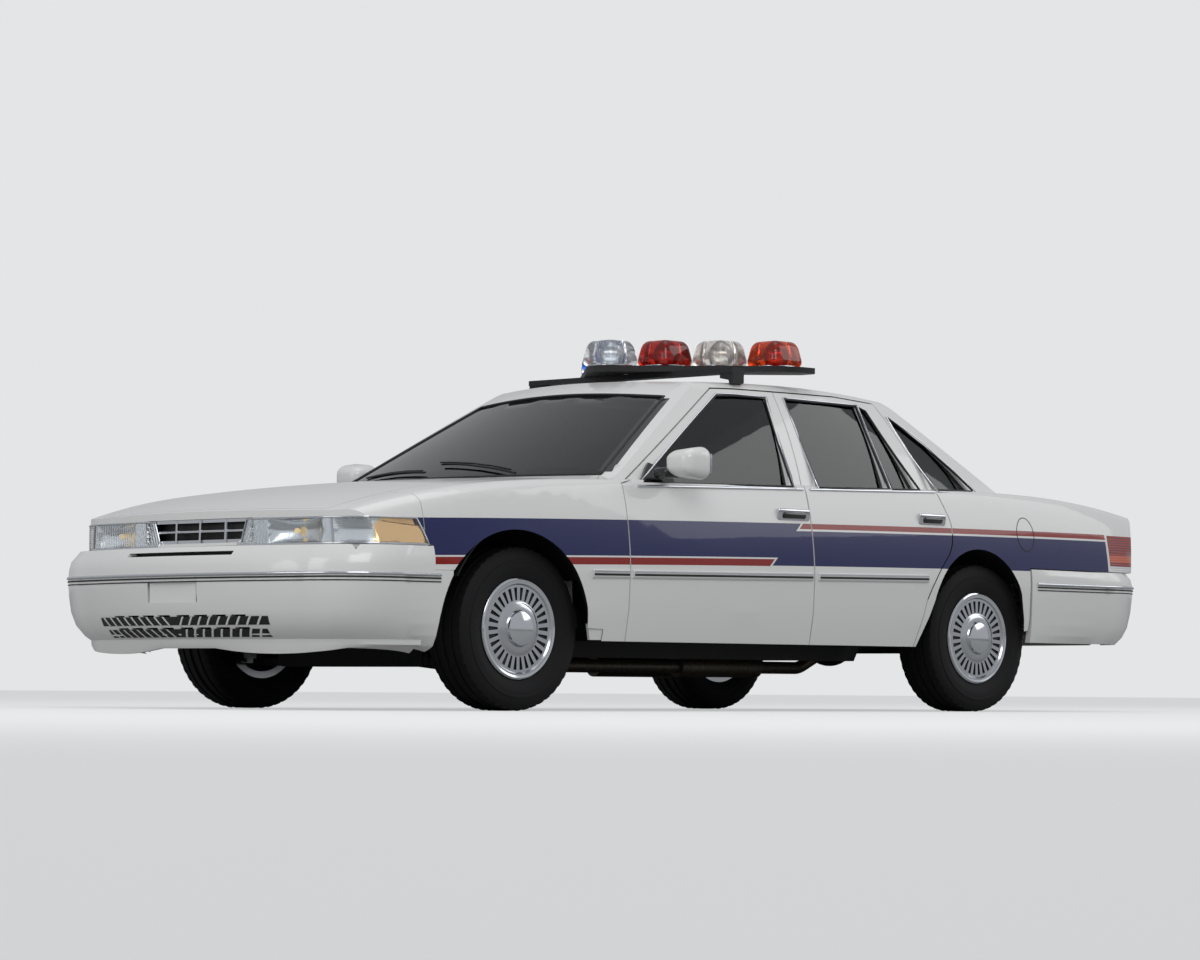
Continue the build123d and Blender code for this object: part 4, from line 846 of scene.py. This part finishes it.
# painted sill under the corner lamp
SILL_DROP, SILL_PROUD, SILL_SUNK = -0.024, 0.0005, -0.006
sill = bmesh.new()
rings = [[sill.verts.new(lamp_point(share, 0.03, out) + Vector((0, 0, drop))) for drop, out in
          ((0.0, SILL_PROUD), (SILL_DROP, SILL_PROUD), (SILL_DROP, SILL_SUNK), (0.0, SILL_SUNK))]
         for share in (split - 0.04 + (1.04 - split) * i / 30 for i in range(31))]
twins(skinned(sill, rings), "headlamp_sill", enamel, "body")
print("lamp splits at", round(split, 3), "of its sweep")

# %% [markdown]
# ## Panel at the corner of the nose
# The sheet metal runs on from the bonnet's edge down to the corner lamp. Rays from above find the
# height of its two neighbours, and a thin sheet joins them on a straight slope.

# %% Painted panel between the bonnet's edge and the corner lamp
nose_top = tree_of(("header_panel", "bonnet", "front_wings"))
PANEL_BACK, PANEL_FRONT, PANEL_OUTER_Y, PANEL_THICK = 2.166, 2.408, 0.7805, 0.006
INNER_RAY_Y, OUTER_RAY_Y = 0.690, 0.800
corner_panel = bmesh.new()
rings = []
for i in range(13):
    x = PANEL_BACK + (PANEL_FRONT - PANEL_BACK) * i / 12
    inner_z, outer_z = (cast(nose_top, (x, y, 2), FROM_ABOVE).z for y in (INNER_RAY_Y, OUTER_RAY_Y))
    # the bonnet's edge draws in towards the nose
    edge_y = 0.706 + 0.048 * (2.476 - x) / 1.124
    line = [(y, inner_z + (outer_z - inner_z) * (y - INNER_RAY_Y) / (OUTER_RAY_Y - INNER_RAY_Y))
            for y in (edge_y, 0.745, PANEL_OUTER_Y)]
    rings.append([corner_panel.verts.new((x, y, z)) for y, z in line]
                 + [corner_panel.verts.new((x, y, z - PANEL_THICK)) for y, z in line[::-1]])
twins(skinned(corner_panel, rings), "nose_corner_panel", enamel, "body")

# %% [markdown]
# ## Tail lamps
# Moulded acrylic: red above, a clear reversing band and a bright strip along the foot. The bands
# lie level, so the material picks its colour by height.

# %% Tail lamp material
BAND_Z, BAND_HALF, BRIGHT_TOP = 0.722, 0.016, 0.687
tail_lens, tree, shader = finish("moulded_red_lens", "#7E0F0C", Roughness=0.1, Coat_Weight=1.0,
                                 Coat_Roughness=0.02)
place = add(tree, "ShaderNodeTexCoord")
point = add(tree, "ShaderNodeSeparateXYZ", {0: place.outputs["Object"]})
ribs = add(tree, "ShaderNodeTexWave",
           {"Vector": place.outputs["Object"], "Scale": 26.0, "Distortion": 0.0},
           bands_direction="Z")
red = add(tree, "ShaderNodeMix",
          {0: ribs.outputs["Fac"], 6: linear("#5E0A0A"), 7: linear("#A81C16")}, data_type="RGBA")
foot = add(tree, "ShaderNodeMath", {0: point.outputs[2], 1: BRIGHT_TOP}, operation="LESS_THAN")
band = add(tree, "ShaderNodeMath", {0: point.outputs[2], 1: BAND_Z, 2: BAND_HALF},
           operation="COMPARE")
amber = add(tree, "ShaderNodeMix", {0: band.outputs[0], 6: red.outputs[2], 7: linear("#C9572F")},
            data_type="RGBA")
final = add(tree, "ShaderNodeMix", {0: foot.outputs[0], 6: amber.outputs[2], 7: linear("#D8DADC")},
            data_type="RGBA")
tree.links.new(final.outputs[2], shader.inputs["Base Color"])
bump = add(tree, "ShaderNodeBump",
           {"Height": ribs.outputs["Fac"], "Distance": 0.002, "Strength": 0.5})
tree.links.new(bump.outputs["Normal"], shader.inputs["Normal"])
dress("tail_lamps", tail_lens)

# %% [markdown]
# ## Grille and openings in the nose
# Black sheets behind the bright grille and the bumper's slots are painted shade for the dark
# inside.
# The surround is one closed rod on the grille's swept face, as the plated bar on the car is.

# %% Grille surround and sheets of painted shade
GRILLE_HALF, GRILLE_LOW, GRILLE_HIGH, GRILLE_X, GRILLE_SWEEP = 0.322, 0.672, 0.768, 2.539, 0.16
GRILLE_MID, BAR_RADIUS = 0.721, 0.0055


def on_grille(y, z, out=0.0):
    """A point on the grille's swept face."""
    return Vector((GRILLE_X + out - GRILLE_SWEEP * y * y, y, z))


half, low, high = GRILLE_HALF, GRILLE_LOW, GRILLE_HIGH
corners = [(half, low + 0.012), (half, high - 0.012), (half - 0.02, high), (-half + 0.02, high),
           (-half, high - 0.012), (-half, low + 0.012), (-half + 0.02, low), (half - 0.02, low)]
surround = rod([on_grille(y, z) for y, z in corners], 0.0085, closed=True)
publish(surround, "grille_surround", chrome, "body")
bars = [rod([on_grille(y, low, 0.002), on_grille(y, high, -0.001)], BAR_RADIUS)
        for y in (-0.155, 0, 0.155)]
publish(joined(bars), "grille_uprights", chrome, "body")
middle_bar = rod([on_grille(y, GRILLE_MID, 0.001) for y in (-0.325, -0.16, 0, 0.16, 0.325)],
                 BAR_RADIUS)
publish(middle_bar, "grille_middle_bar", chrome, "body")
# black sheets of painted shade behind the grille and the intake
for name, size, centre in (("grille_shade_sheet", (0.004, 0.66, 0.094), (2.505, 0, GRILLE_MID)),
                           ("intake_shade_sheet", (0.004, 0.90, 0.15), (2.545, 0, 0.335))):
    publish(slab(size, centre, 0.0015), name, black_plastic, "body")

# %% [markdown]
# ## The smooth face of the front bumper
# The cover is one moulding, but slots are cut in it, so rays alone would fall through. Its face is
# fitted by a low polynomial instead, from the rays that do meet it, and trim is laid on that.

# %% Fit the bumper's face
bumper_front = bumper_trees["front_bumper"]


def bumper_terms(y, z):
    """The terms of the polynomial that gives the face's x."""
    return (1, y * y, y ** 4, y ** 6, z, z * z, z ** 3, z * y * y, z * y ** 4, z * z * y * y)


spots = []
for i in range(57):
    for k in range(30):
        y, z = -0.56 + 0.02 * i, 0.268 + 0.009 * k
        hit = cast(bumper_front, (4, y, z), FROM_FRONT)
        if hit is not None and hit.x > 2.4:
            spots.append((*bumper_terms(y, z), hit.x))
spots = np.array(spots)
for limit in (0.05, 0.012, 0.005, 0.003):
    bumper_fit = np.linalg.lstsq(spots[:, :-1], spots[:, -1], rcond=None)[0]
    spots = spots[abs(spots[:, :-1] @ bumper_fit - spots[:, -1]) < limit]
worst = float(abs(spots[:, :-1] @ bumper_fit - spots[:, -1]).max())
print("bumper fit", len(spots), round(worst * 1000, 1), "mm")


def on_bumper(y, z, out):
    """A point on the smooth front of the bumper cover."""
    return Vector((float(np.dot(bumper_terms(y, z), bumper_fit)) + out, y, z))


# %% [markdown]
# ## Cooling intake
# Two rows of dark slots are parted by slanted painted vanes. Each row is a black plate of painted
# shade for the dark inside deep slots, and each vane a painted one, both curved with the bumper.


# %% Intake rows and vanes
def bumper_patch(corners, out, thick, across):
    """A thin plate over the bumper between a lower and an upper edge, each from y0 to y1."""
    (low0, low1, low_z), (top0, top1, top_z) = corners
    bm = bmesh.new()
    rings = []
    for i in range(across + 1):
        k = i / across
        foot, head = (a + (b - a) * k for a, b in ((low0, low1), (top0, top1)))
        levels = [low_z + (top_z - low_z) * n / 4 for n in range(5)]
        ring = [bm.verts.new(on_bumper(foot + (head - foot) * n / 4, z, out))
                for n, z in enumerate(levels)]
        ring += [bm.verts.new(on_bumper(head + (foot - head) * n / 4, z, out - thick))
                 for n, z in enumerate(reversed(levels))]
        rings.append(ring)
    return skinned(bm, rings)


# foot, head and half length of each row
INTAKE_ROWS = ((0.338, 0.372, 0.525), (0.290, 0.322, 0.500))
VANES, VANE_WIDTH, VANE_LEAN, PLATE_THICK = 9, 0.009, 0.030, 0.008
for number, (low_z, top_z, reach) in enumerate(INTAKE_ROWS):
    row = bumper_patch(((-reach, reach, low_z), (-reach, reach, top_z)), 0.003, PLATE_THICK, 48)
    # each row's black plate is painted shade, laid over the slots that it covers
    publish(row, f"intake_shade_plate_{number}", black_plastic, "body")
    vanes = []
    for _, hand in HANDS:
        for i in range(VANES):
            y = hand * (0.03 + (reach - 0.04) * i / VANES)
            foot = (y, y + hand * VANE_WIDTH, low_z)
            head = (y + hand * VANE_LEAN, y + hand * (VANE_LEAN + VANE_WIDTH), top_z)
            vanes.append(bumper_patch((foot, head), 0.006, PLATE_THICK, 2))
    publish(joined(vanes), f"intake_vanes_{number}", enamel, "body")
print("vanes", 2 * VANES * len(INTAKE_ROWS))

# %% [markdown]
# ## Lip, wing foot and plate panel
# The foot of the bumper turns under in a lip that hangs lowest either side of the middle. Behind
# the front wheel the wing ends in a small painted foot, and a groove marks the bare plate panel.

# %% Painted lip along the foot of the front bumper
LIP_FAN, LIP_STEPS, LIP_RAY_Z = 66, 80, 0.282
LIP_TOP, LIP_FOLD = 0.286, 0.262
lip = bmesh.new()
rings = []
for i in range(LIP_STEPS + 1):
    angle = radians(-LIP_FAN + 2 * LIP_FAN * i / LIP_STEPS)
    way = Vector((cos(angle), sin(angle), 0))
    hit = cast(bumper_front, Vector((1.75, 0, LIP_RAY_Z)) + way * 3, -way)
    if hit is None:
        continue
    y = abs(hit.y)
    low_z = (0.246 - 0.022 * max(0.0, 1 - ((y - 0.5) / 0.32) ** 2)
             + 0.012 * max(0.0, (y - 0.75) / 0.2))
    ring = []
    for z, shift in ((LIP_TOP, 0.001), (LIP_FOLD, -0.001), (low_z, -0.012), (low_z, -0.030),
                     (LIP_FOLD, -0.016), (LIP_TOP, -0.010)):
        spot = hit + way * shift
        ring.append(lip.verts.new((spot.x, spot.y, z)))
    rings.append(ring)
publish(skinned(lip, rings), "front_bumper_lip", enamel, "body")

# %% Painted foot of each wing behind the wheel
FOOT_LOW, FOOT_HEIGHT, FOOT_STEPS = 0.294, 0.066, 6
FOOT_BACK, FOOT_MID, FOOT_PROUD, FOOT_SUNK = 1.10, 1.18, 0.0008, -0.012
SKIN_X, DRAW_IN = 1.075, 0.05
foot_piece = bmesh.new()
rings = []
for k in (i / FOOT_STEPS for i in range(FOOT_STEPS + 1)):
    z, ahead = FOOT_LOW + FOOT_HEIGHT * k, 1.238 + 0.022 * k
    skin_y = wall(SKIN_X, z).y
    rings.append([foot_piece.verts.new((x, skin_y - DRAW_IN * (x - SKIN_X) + out, z)) for x, out in
                  ((FOOT_BACK, FOOT_PROUD), (FOOT_MID, FOOT_PROUD), (ahead, FOOT_PROUD),
                   (ahead, FOOT_SUNK), (FOOT_MID, FOOT_SUNK), (FOOT_BACK, FOOT_SUNK))])
twins(skinned(foot_piece, rings), "wing_foot", enamel, "body")

# %% Plate panel and the slot over it
PLATE_HALF, PLATE_LOW, PLATE_HIGH = 0.150, 0.424, 0.522
plate = [(-PLATE_HALF, PLATE_HIGH), (PLATE_HALF, PLATE_HIGH), (PLATE_HALF, PLATE_LOW),
         (-PLATE_HALF, PLATE_LOW)]
groove = []
for (y0, z0), (y1, z1) in zip(plate, plate[1:] + plate[:1]):
    groove += [on_bumper(y0 + (y1 - y0) * i / 8, z0 + (z1 - z0) * i / 8, -0.0006) for i in range(8)]
publish(rod(groove, 0.0016, closed=True), "plate_panel_groove", gloss_black, "body")
# a black sheet of painted shade behind the slot above the plate panel
publish(slab((0.004, 0.70, 0.03), (2.60, 0, 0.626), 0.0015), "slot_shade_sheet", black_plastic, "body")

# %% [markdown]
# ## Tyres
# The carcass is spun from its section, with three grooves round the crown. Shoulder blocks are
# then raised from alternate faces, as a moulded tread has.

# %% Tyres with tread blocks
AXLES = (("front", 1.600, 0.7975), ("rear", -1.306, 0.804))
TYRE_R = 0.335
TREAD_STEPS, BLOCK_HEIGHT = 96, 0.0022
# half of the section, from the bead over the shoulder to the middle groove, as (y, radius)
half_section = [
    (0.082, 0.193), (0.088, 0.206), (0.094, 0.211), (0.104, 0.238), (0.109, 0.262),
    (0.1085, 0.270), (0.110, 0.272), (0.1105, 0.282), (0.108, 0.2835), (0.106, 0.300),
    (0.101, 0.318), (0.094, 0.328), (0.078, 0.3325), (0.054, 0.3338), (0.052, 0.3255),
    (0.044, 0.3255), (0.042, 0.3342), (0.012, 0.3346), (0.010, 0.3262), (0.0, 0.3262)]
section = half_section + [(-y, r) for y, r in half_section[-2::-1]]


def tyre():
    """A spun carcass about the origin, with its shoulder blocks raised."""
    bm = turned(section, (0, 0, 0), TREAD_STEPS)
    raised = []
    for face in bm.faces:
        mid = face.calc_center_median()
        radius = (mid.x ** 2 + mid.z ** 2) ** 0.5
        step = int(round((atan2(mid.z, mid.x) + pi) / (2 * pi) * TREAD_STEPS - 0.5))
        if radius > 0.326 and 0.075 < abs(mid.y) < 0.1 and step % 2:
            raised.append(face)
    for face in bmesh.ops.extrude_discrete_faces(bm, faces=raised)["faces"]:
        way = face.calc_center_median()
        way.y = 0
        bmesh.ops.translate(bm, vec=way.normalized() * BLOCK_HEIGHT, verts=face.verts)
    return bm


# what covers the wheel: label, profile of (y, radius), steps, closed ring, finish
COVERS = (
    # cover_shadow is a black disc of painted shade behind the cover's vanes
    ("cover_shadow", [(0.086, 0.0), (0.086, 0.172), (0.082, 0.172), (0.082, 0.0)], 48, False,
     black_plastic),
    ("cover_ring", [(0.094, 0.196), (0.1, 0.205), (0.103, 0.2), (0.1, 0.187), (0.096, 0.187)], 96,
     True, chrome),
    ("hub_cap", [(0.0995, 0.074), (0.1125, 0.068), (0.1195, 0.045), (0.1225, 0.02), (0.123, 0.0)],
     64, False, chrome),
)
for axle, axle_x, track in AXLES:
    wheel, hub = "wheel_" + axle + "_{}", (axle_x, track, TYRE_R)
    bm = tyre()
    bmesh.ops.translate(bm, vec=hub, verts=bm.verts)
    pair = twins(bm, f"{axle}_tyre_tread", rubber, wheel, sharp=28)
    for piece, (hand, _) in zip(pair, HANDS):
        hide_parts(f"tyre_{axle}_{hand}")
    for label, profile, steps, closed, material in COVERS:
        twins(turned(profile, hub, steps, closed), f"{axle}_{label}", material, wheel)
print("tyres", 2 * len(AXLES))

# %% [markdown]
# ## Light bar
# Seven rotating beacons stand under domed lenses in a V. Each dome is thin moulded acrylic in its
# own colour over a bright reflector, with a chromed ring round its foot.

# %% Beacon domes
PODS = (
    ("amber_red", -0.340, 0.525, "#D8481C"), ("clear_left", -0.165, 0.352, "#F2ECE6"),
    ("red", 0.006, 0.177, "#C0281A"), ("clear_front", 0.175, 0.0, "#EFF2F6"),
    ("blue", 0.006, -0.177, "#2A5FD0"), ("clear_right", -0.165, -0.352, "#F0F3F7"),
    ("deep_blue", -0.340, -0.525, "#1F4FC4"),
)
POD_Z, LAMP_UP = 1.5313, 0.052
DOME_WIDTH, DOME_HEIGHT, DOME_CORNER, DOME_TAPER = 0.196, 0.118, 0.032, 0.24
RING_RADIUS, RING_SQUARENESS = 0.088, 0.12
REFLECTOR = [(0.0, 0.012), (0.012, 0.03), (0.035, 0.046), (0.05, 0.05)]


def dome(x, y):
    """A dome that narrows upwards, with rounded corners."""
    bm = slab((DOME_WIDTH, DOME_WIDTH, DOME_HEIGHT), (0, 0, DOME_HEIGHT / 2), DOME_CORNER, 4)
    for vert in bm.verts:
        narrow = 1 - DOME_TAPER * (vert.co.z / DOME_HEIGHT) ** 1.6
        vert.co.x *= narrow
        vert.co.y *= narrow
    bmesh.ops.translate(bm, vec=(x, y, POD_Z), verts=bm.verts)
    return bm


def foot_ring(x, y):
    """A ring round a dome's foot, swollen towards its four corners."""
    angles = [2 * pi * i / 40 for i in range(40)]
    reach = [RING_RADIUS * (1 + RING_SQUARENESS * sin(2 * a) ** 2) for a in angles]
    return rod([Vector((x + r * cos(a), y + r * sin(a), POD_Z + 0.004))
                for a, r in zip(angles, reach)], 0.004, closed=True)


first = None
for name, x, y, code in PODS:
    # dyed acrylic, polished in the mould, over a filter of the same colour
    lens = plain_finish(f"{name}_dome_acrylic", code, (12, 0.05), Roughness=0.06,
                        Transmission_Weight=0.85, IOR=1.49)
    piece = publish(dome(x, y), f"{name}_dome", lens, "body", sharp=50)
    first = first or piece
    inner = plain_finish(f"{name}_filter", code, (6, 0.1), Roughness=0.25, Metallic=0.4)
    lamp_at = (x, y, POD_Z + LAMP_UP)
    bowl = turned(REFLECTOR, (0, 0, 0), 32)
    bmesh.ops.transform(bowl, matrix=Matrix.Rotation(radians(-40), 4, "Z"), verts=bowl.verts)
    bmesh.ops.translate(bowl, vec=lamp_at, verts=bowl.verts)
    publish(bowl, f"{name}_reflector", mirror_glass, "body")
    publish(ball(0.02, lamp_at), f"{name}_lamp", inner, "body")
    publish(foot_ring(x, y), f"{name}_ring", chrome, "body")
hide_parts("light_bar_lenses")
print("beacons", len(PODS))

# %% [markdown]
# ## Seats
# A bench-like front pair and a rear bench in woven cloth. Each cushion is a crowned closed form,
# drawn in between its corners, with sewn channels pressed in along its length.


# %% Padded seats
def cushion(size, centre, turn, channels, crown=0.018):
    """A crowned pad with channels across it."""
    bm = slab(size, (0, 0, 0), min(size) * 0.28, 4)
    bmesh.ops.subdivide_edges(bm, edges=[e for e in bm.edges if e.calc_length() > 0.08], cuts=14,
                              use_grid_fill=True)
    for vert in bm.verts:
        u, v = vert.co.x / size[0] * 2, vert.co.y / size[1] * 2
        top = max(0.0, vert.co.z / size[2] * 2)
        swell = crown * (1 - min(1, abs(u)) ** 2) * (1 - min(1, abs(v)) ** 2)
        groove = 0.007 * max(0.0, cos(v * channels * pi)) ** 8
        vert.co.z += top * (swell - groove)
        vert.co.x *= 1 - 0.015 * cos(v * pi / 2)
    place = Matrix.Translation(centre) @ Matrix.Rotation(radians(turn), 4, "Y")
    bmesh.ops.transform(bm, matrix=place, verts=bm.verts)
    return bm


def pad(name, *shape):
    """A cushion in seat cloth."""
    piece = publish(cushion(*shape), name, cloth, "body", sharp=60)
    return piece


first_seat = None
for hand, sign in HANDS:
    y = 0.395 * sign
    seat = pad(f"front_cushion_{hand}", (0.43, 0.478, 0.125), Vector((0.285, y, 0.472)), -4, 3)
    pad(f"front_backrest_{hand}", (0.60, 0.478, 0.105), Vector((-0.055, y, 0.775)), -70, 3)
    pad(f"head_rest_{hand}", (0.14, 0.262, 0.078), Vector((-0.175, y, 1.135)), -72, 0.5, 0.006)
    base = slab((0.34, 0.34, 0.085), (0.28, y, 0.353), 0.008)
    publish(base, f"seat_base_{hand}", black_plastic, "body")
    posts = joined([rod([Vector((-0.172, post_y, 1.085)), Vector((-0.158, post_y, 1.03))], 0.006)
                    for post_y in (y - 0.06, y + 0.06)])
    publish(posts, f"head_rest_posts_{hand}", chrome, "body")
    first_seat = first_seat or seat
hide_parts("front_seats")
bench = pad("rear_cushion", (0.50, 1.26, 0.125), Vector((-0.975, 0, 0.668)), -2, 5)
pad("rear_backrest", (0.42, 1.25, 0.10), Vector((-1.292, 0, 0.835)), -66, 5)
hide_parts("rear_seat")
print("seats", len(HANDS) + 1)

# %% [markdown]
# ## Wipers and cowl
# Two arms lie across the foot of the windscreen. Their places come from rays against the glass.

# %% Wipers
screen_tree = tree_of(("windscreen", "cowl_firewall"))
# root and tip of each arm in length and width
WIPERS = (("left", (1.185, 0.44), (1.125, -0.12)), ("right", (1.205, -0.10), (1.105, -0.62)))
COWL_Z, BLADE_BACK = 0.99, 0.03


def on_screen(x, y, out):
    """A point over the glass or the cowl, standing up by out."""
    hit = cast(screen_tree, (x, y, 2), FROM_ABOVE)
    return Vector((x, y, (hit.z if hit is not None else COWL_Z) + out))


for name, (root_x, root_y), (tip_x, tip_y) in WIPERS:
    across, along = tip_y - root_y, tip_x - root_x
    arm = [on_screen(root_x + along * k, root_y + across * k, 0.014) for k in (0, 0.3, 0.6, 0.9)]
    blade = [on_screen(root_x - BLADE_BACK + along * k, root_y + across * k, 0.006)
             for k in (0.12, 0.35, 0.6, 0.85, 1.0)]
    publish(joined([rod(arm, 0.0045), rod(blade, 0.0035)]), f"wiper_{name}", black_plastic, "body")

# %% [markdown]
# ## Floor, light and camera
# A pale studio floor and backdrop. The camera stands low, at the photograph's own angle, with the
# long lens that its perspective shows. The floor and the world show a paler tone to the camera
# than they light the car with, so that the background is bright and white paint doesn't clip.

# %% Studio floor
BACKDROP = "#E4E5E6"
# matt paper: no highlight, and a soft shadow
paper, tree, shader = finish("floor_paper", "#A6A6A5", Roughness=0.95, Specular_IOR_Level=0.1)
grain(tree, shader, 30, 0.1)
straight = add(tree, "ShaderNodeLightPath")
glow = add(tree, "ShaderNodeMath", {0: straight.outputs["Is Camera Ray"], 1: 0.60},
           operation="MULTIPLY")
shader.inputs["Emission Color"].default_value = linear(BACKDROP)
tree.links.new(glow.outputs[0], shader.inputs["Emission Strength"])
floor = bmesh.new()
bmesh.ops.create_grid(floor, x_segments=2, y_segments=2, size=60)
shaded(floor, "studio_floor", paper, 40)

# %% World and lamps
world = bpy.data.worlds.new("studio_world")
bpy.context.scene.world = world
world.use_nodes = True
tree = world.node_tree
tree.nodes.clear()
ray = add(tree, "ShaderNodeLightPath")
seen = add(tree, "ShaderNodeMath",
           {0: ray.outputs["Is Camera Ray"], 1: ray.outputs["Is Transmission Ray"]},
           operation="MAXIMUM")
plain = add(tree, "ShaderNodeBackground", {"Color": (0.90, 0.92, 0.96, 1), "Strength": 0.48})
pale = add(tree, "ShaderNodeBackground", {"Color": linear(BACKDROP), "Strength": 1.0})
mixed = add(tree, "ShaderNodeMixShader",
            {0: seen.outputs[0], 1: plain.outputs[0], 2: pale.outputs[0]})
add(tree, "ShaderNodeOutputWorld", {0: mixed.outputs[0]})

# name, place, width in metres, power in watts
LAMPS = (("key", (6, 7, 6.5), 5.0, 240), ("front", (9, -1, 4), 4.0, 95),
         ("back", (-7, 5, 5), 5.0, 120), ("top", (0, 0, 9), 6.0, 120))
AIM = Vector((0, 0, 0.6))
for name, place_at, size, power in LAMPS:
    light = bpy.data.lights.new(name, "AREA")
    light.size = size
    light.energy = power
    lamp = bpy.data.objects.new(name, light)
    lamp.location = place_at
    lamp.rotation_euler = (AIM - Vector(place_at)).to_track_quat("-Z", "Y").to_euler()
    bpy.context.scene.collection.objects.link(lamp)

# %% Camera
YAW, PITCH, ROLL = 3.92329804, 0.0502550, 0.00634674
EYE = (13.4395, 13.1072, 0.0875)
FOCAL_PX, WIDTH_PX, SENSOR = 4176.35, 1200, 36
forward = Vector((cos(YAW) * cos(PITCH), sin(YAW) * cos(PITCH), sin(PITCH)))
right = forward.cross(Vector((0, 0, 1))).normalized()
up = right.cross(forward)
right_rolled = right * cos(ROLL) + up * sin(ROLL)
up_rolled = up * cos(ROLL) - right * sin(ROLL)
camera = bpy.data.cameras.new("photo_camera")
camera.sensor_width = SENSOR
camera.lens = FOCAL_PX / WIDTH_PX * SENSOR
eye = bpy.data.objects.new("photo_camera", camera)
eye.matrix_world = Matrix.Translation(EYE) @ Matrix(
    (right_rolled, up_rolled, -forward)).transposed().to_4x4()
bpy.context.scene.collection.objects.link(eye)
bpy.context.scene.camera = eye
bpy.context.scene.view_settings.view_transform = "Standard"
print("lens", round(camera.lens, 2))
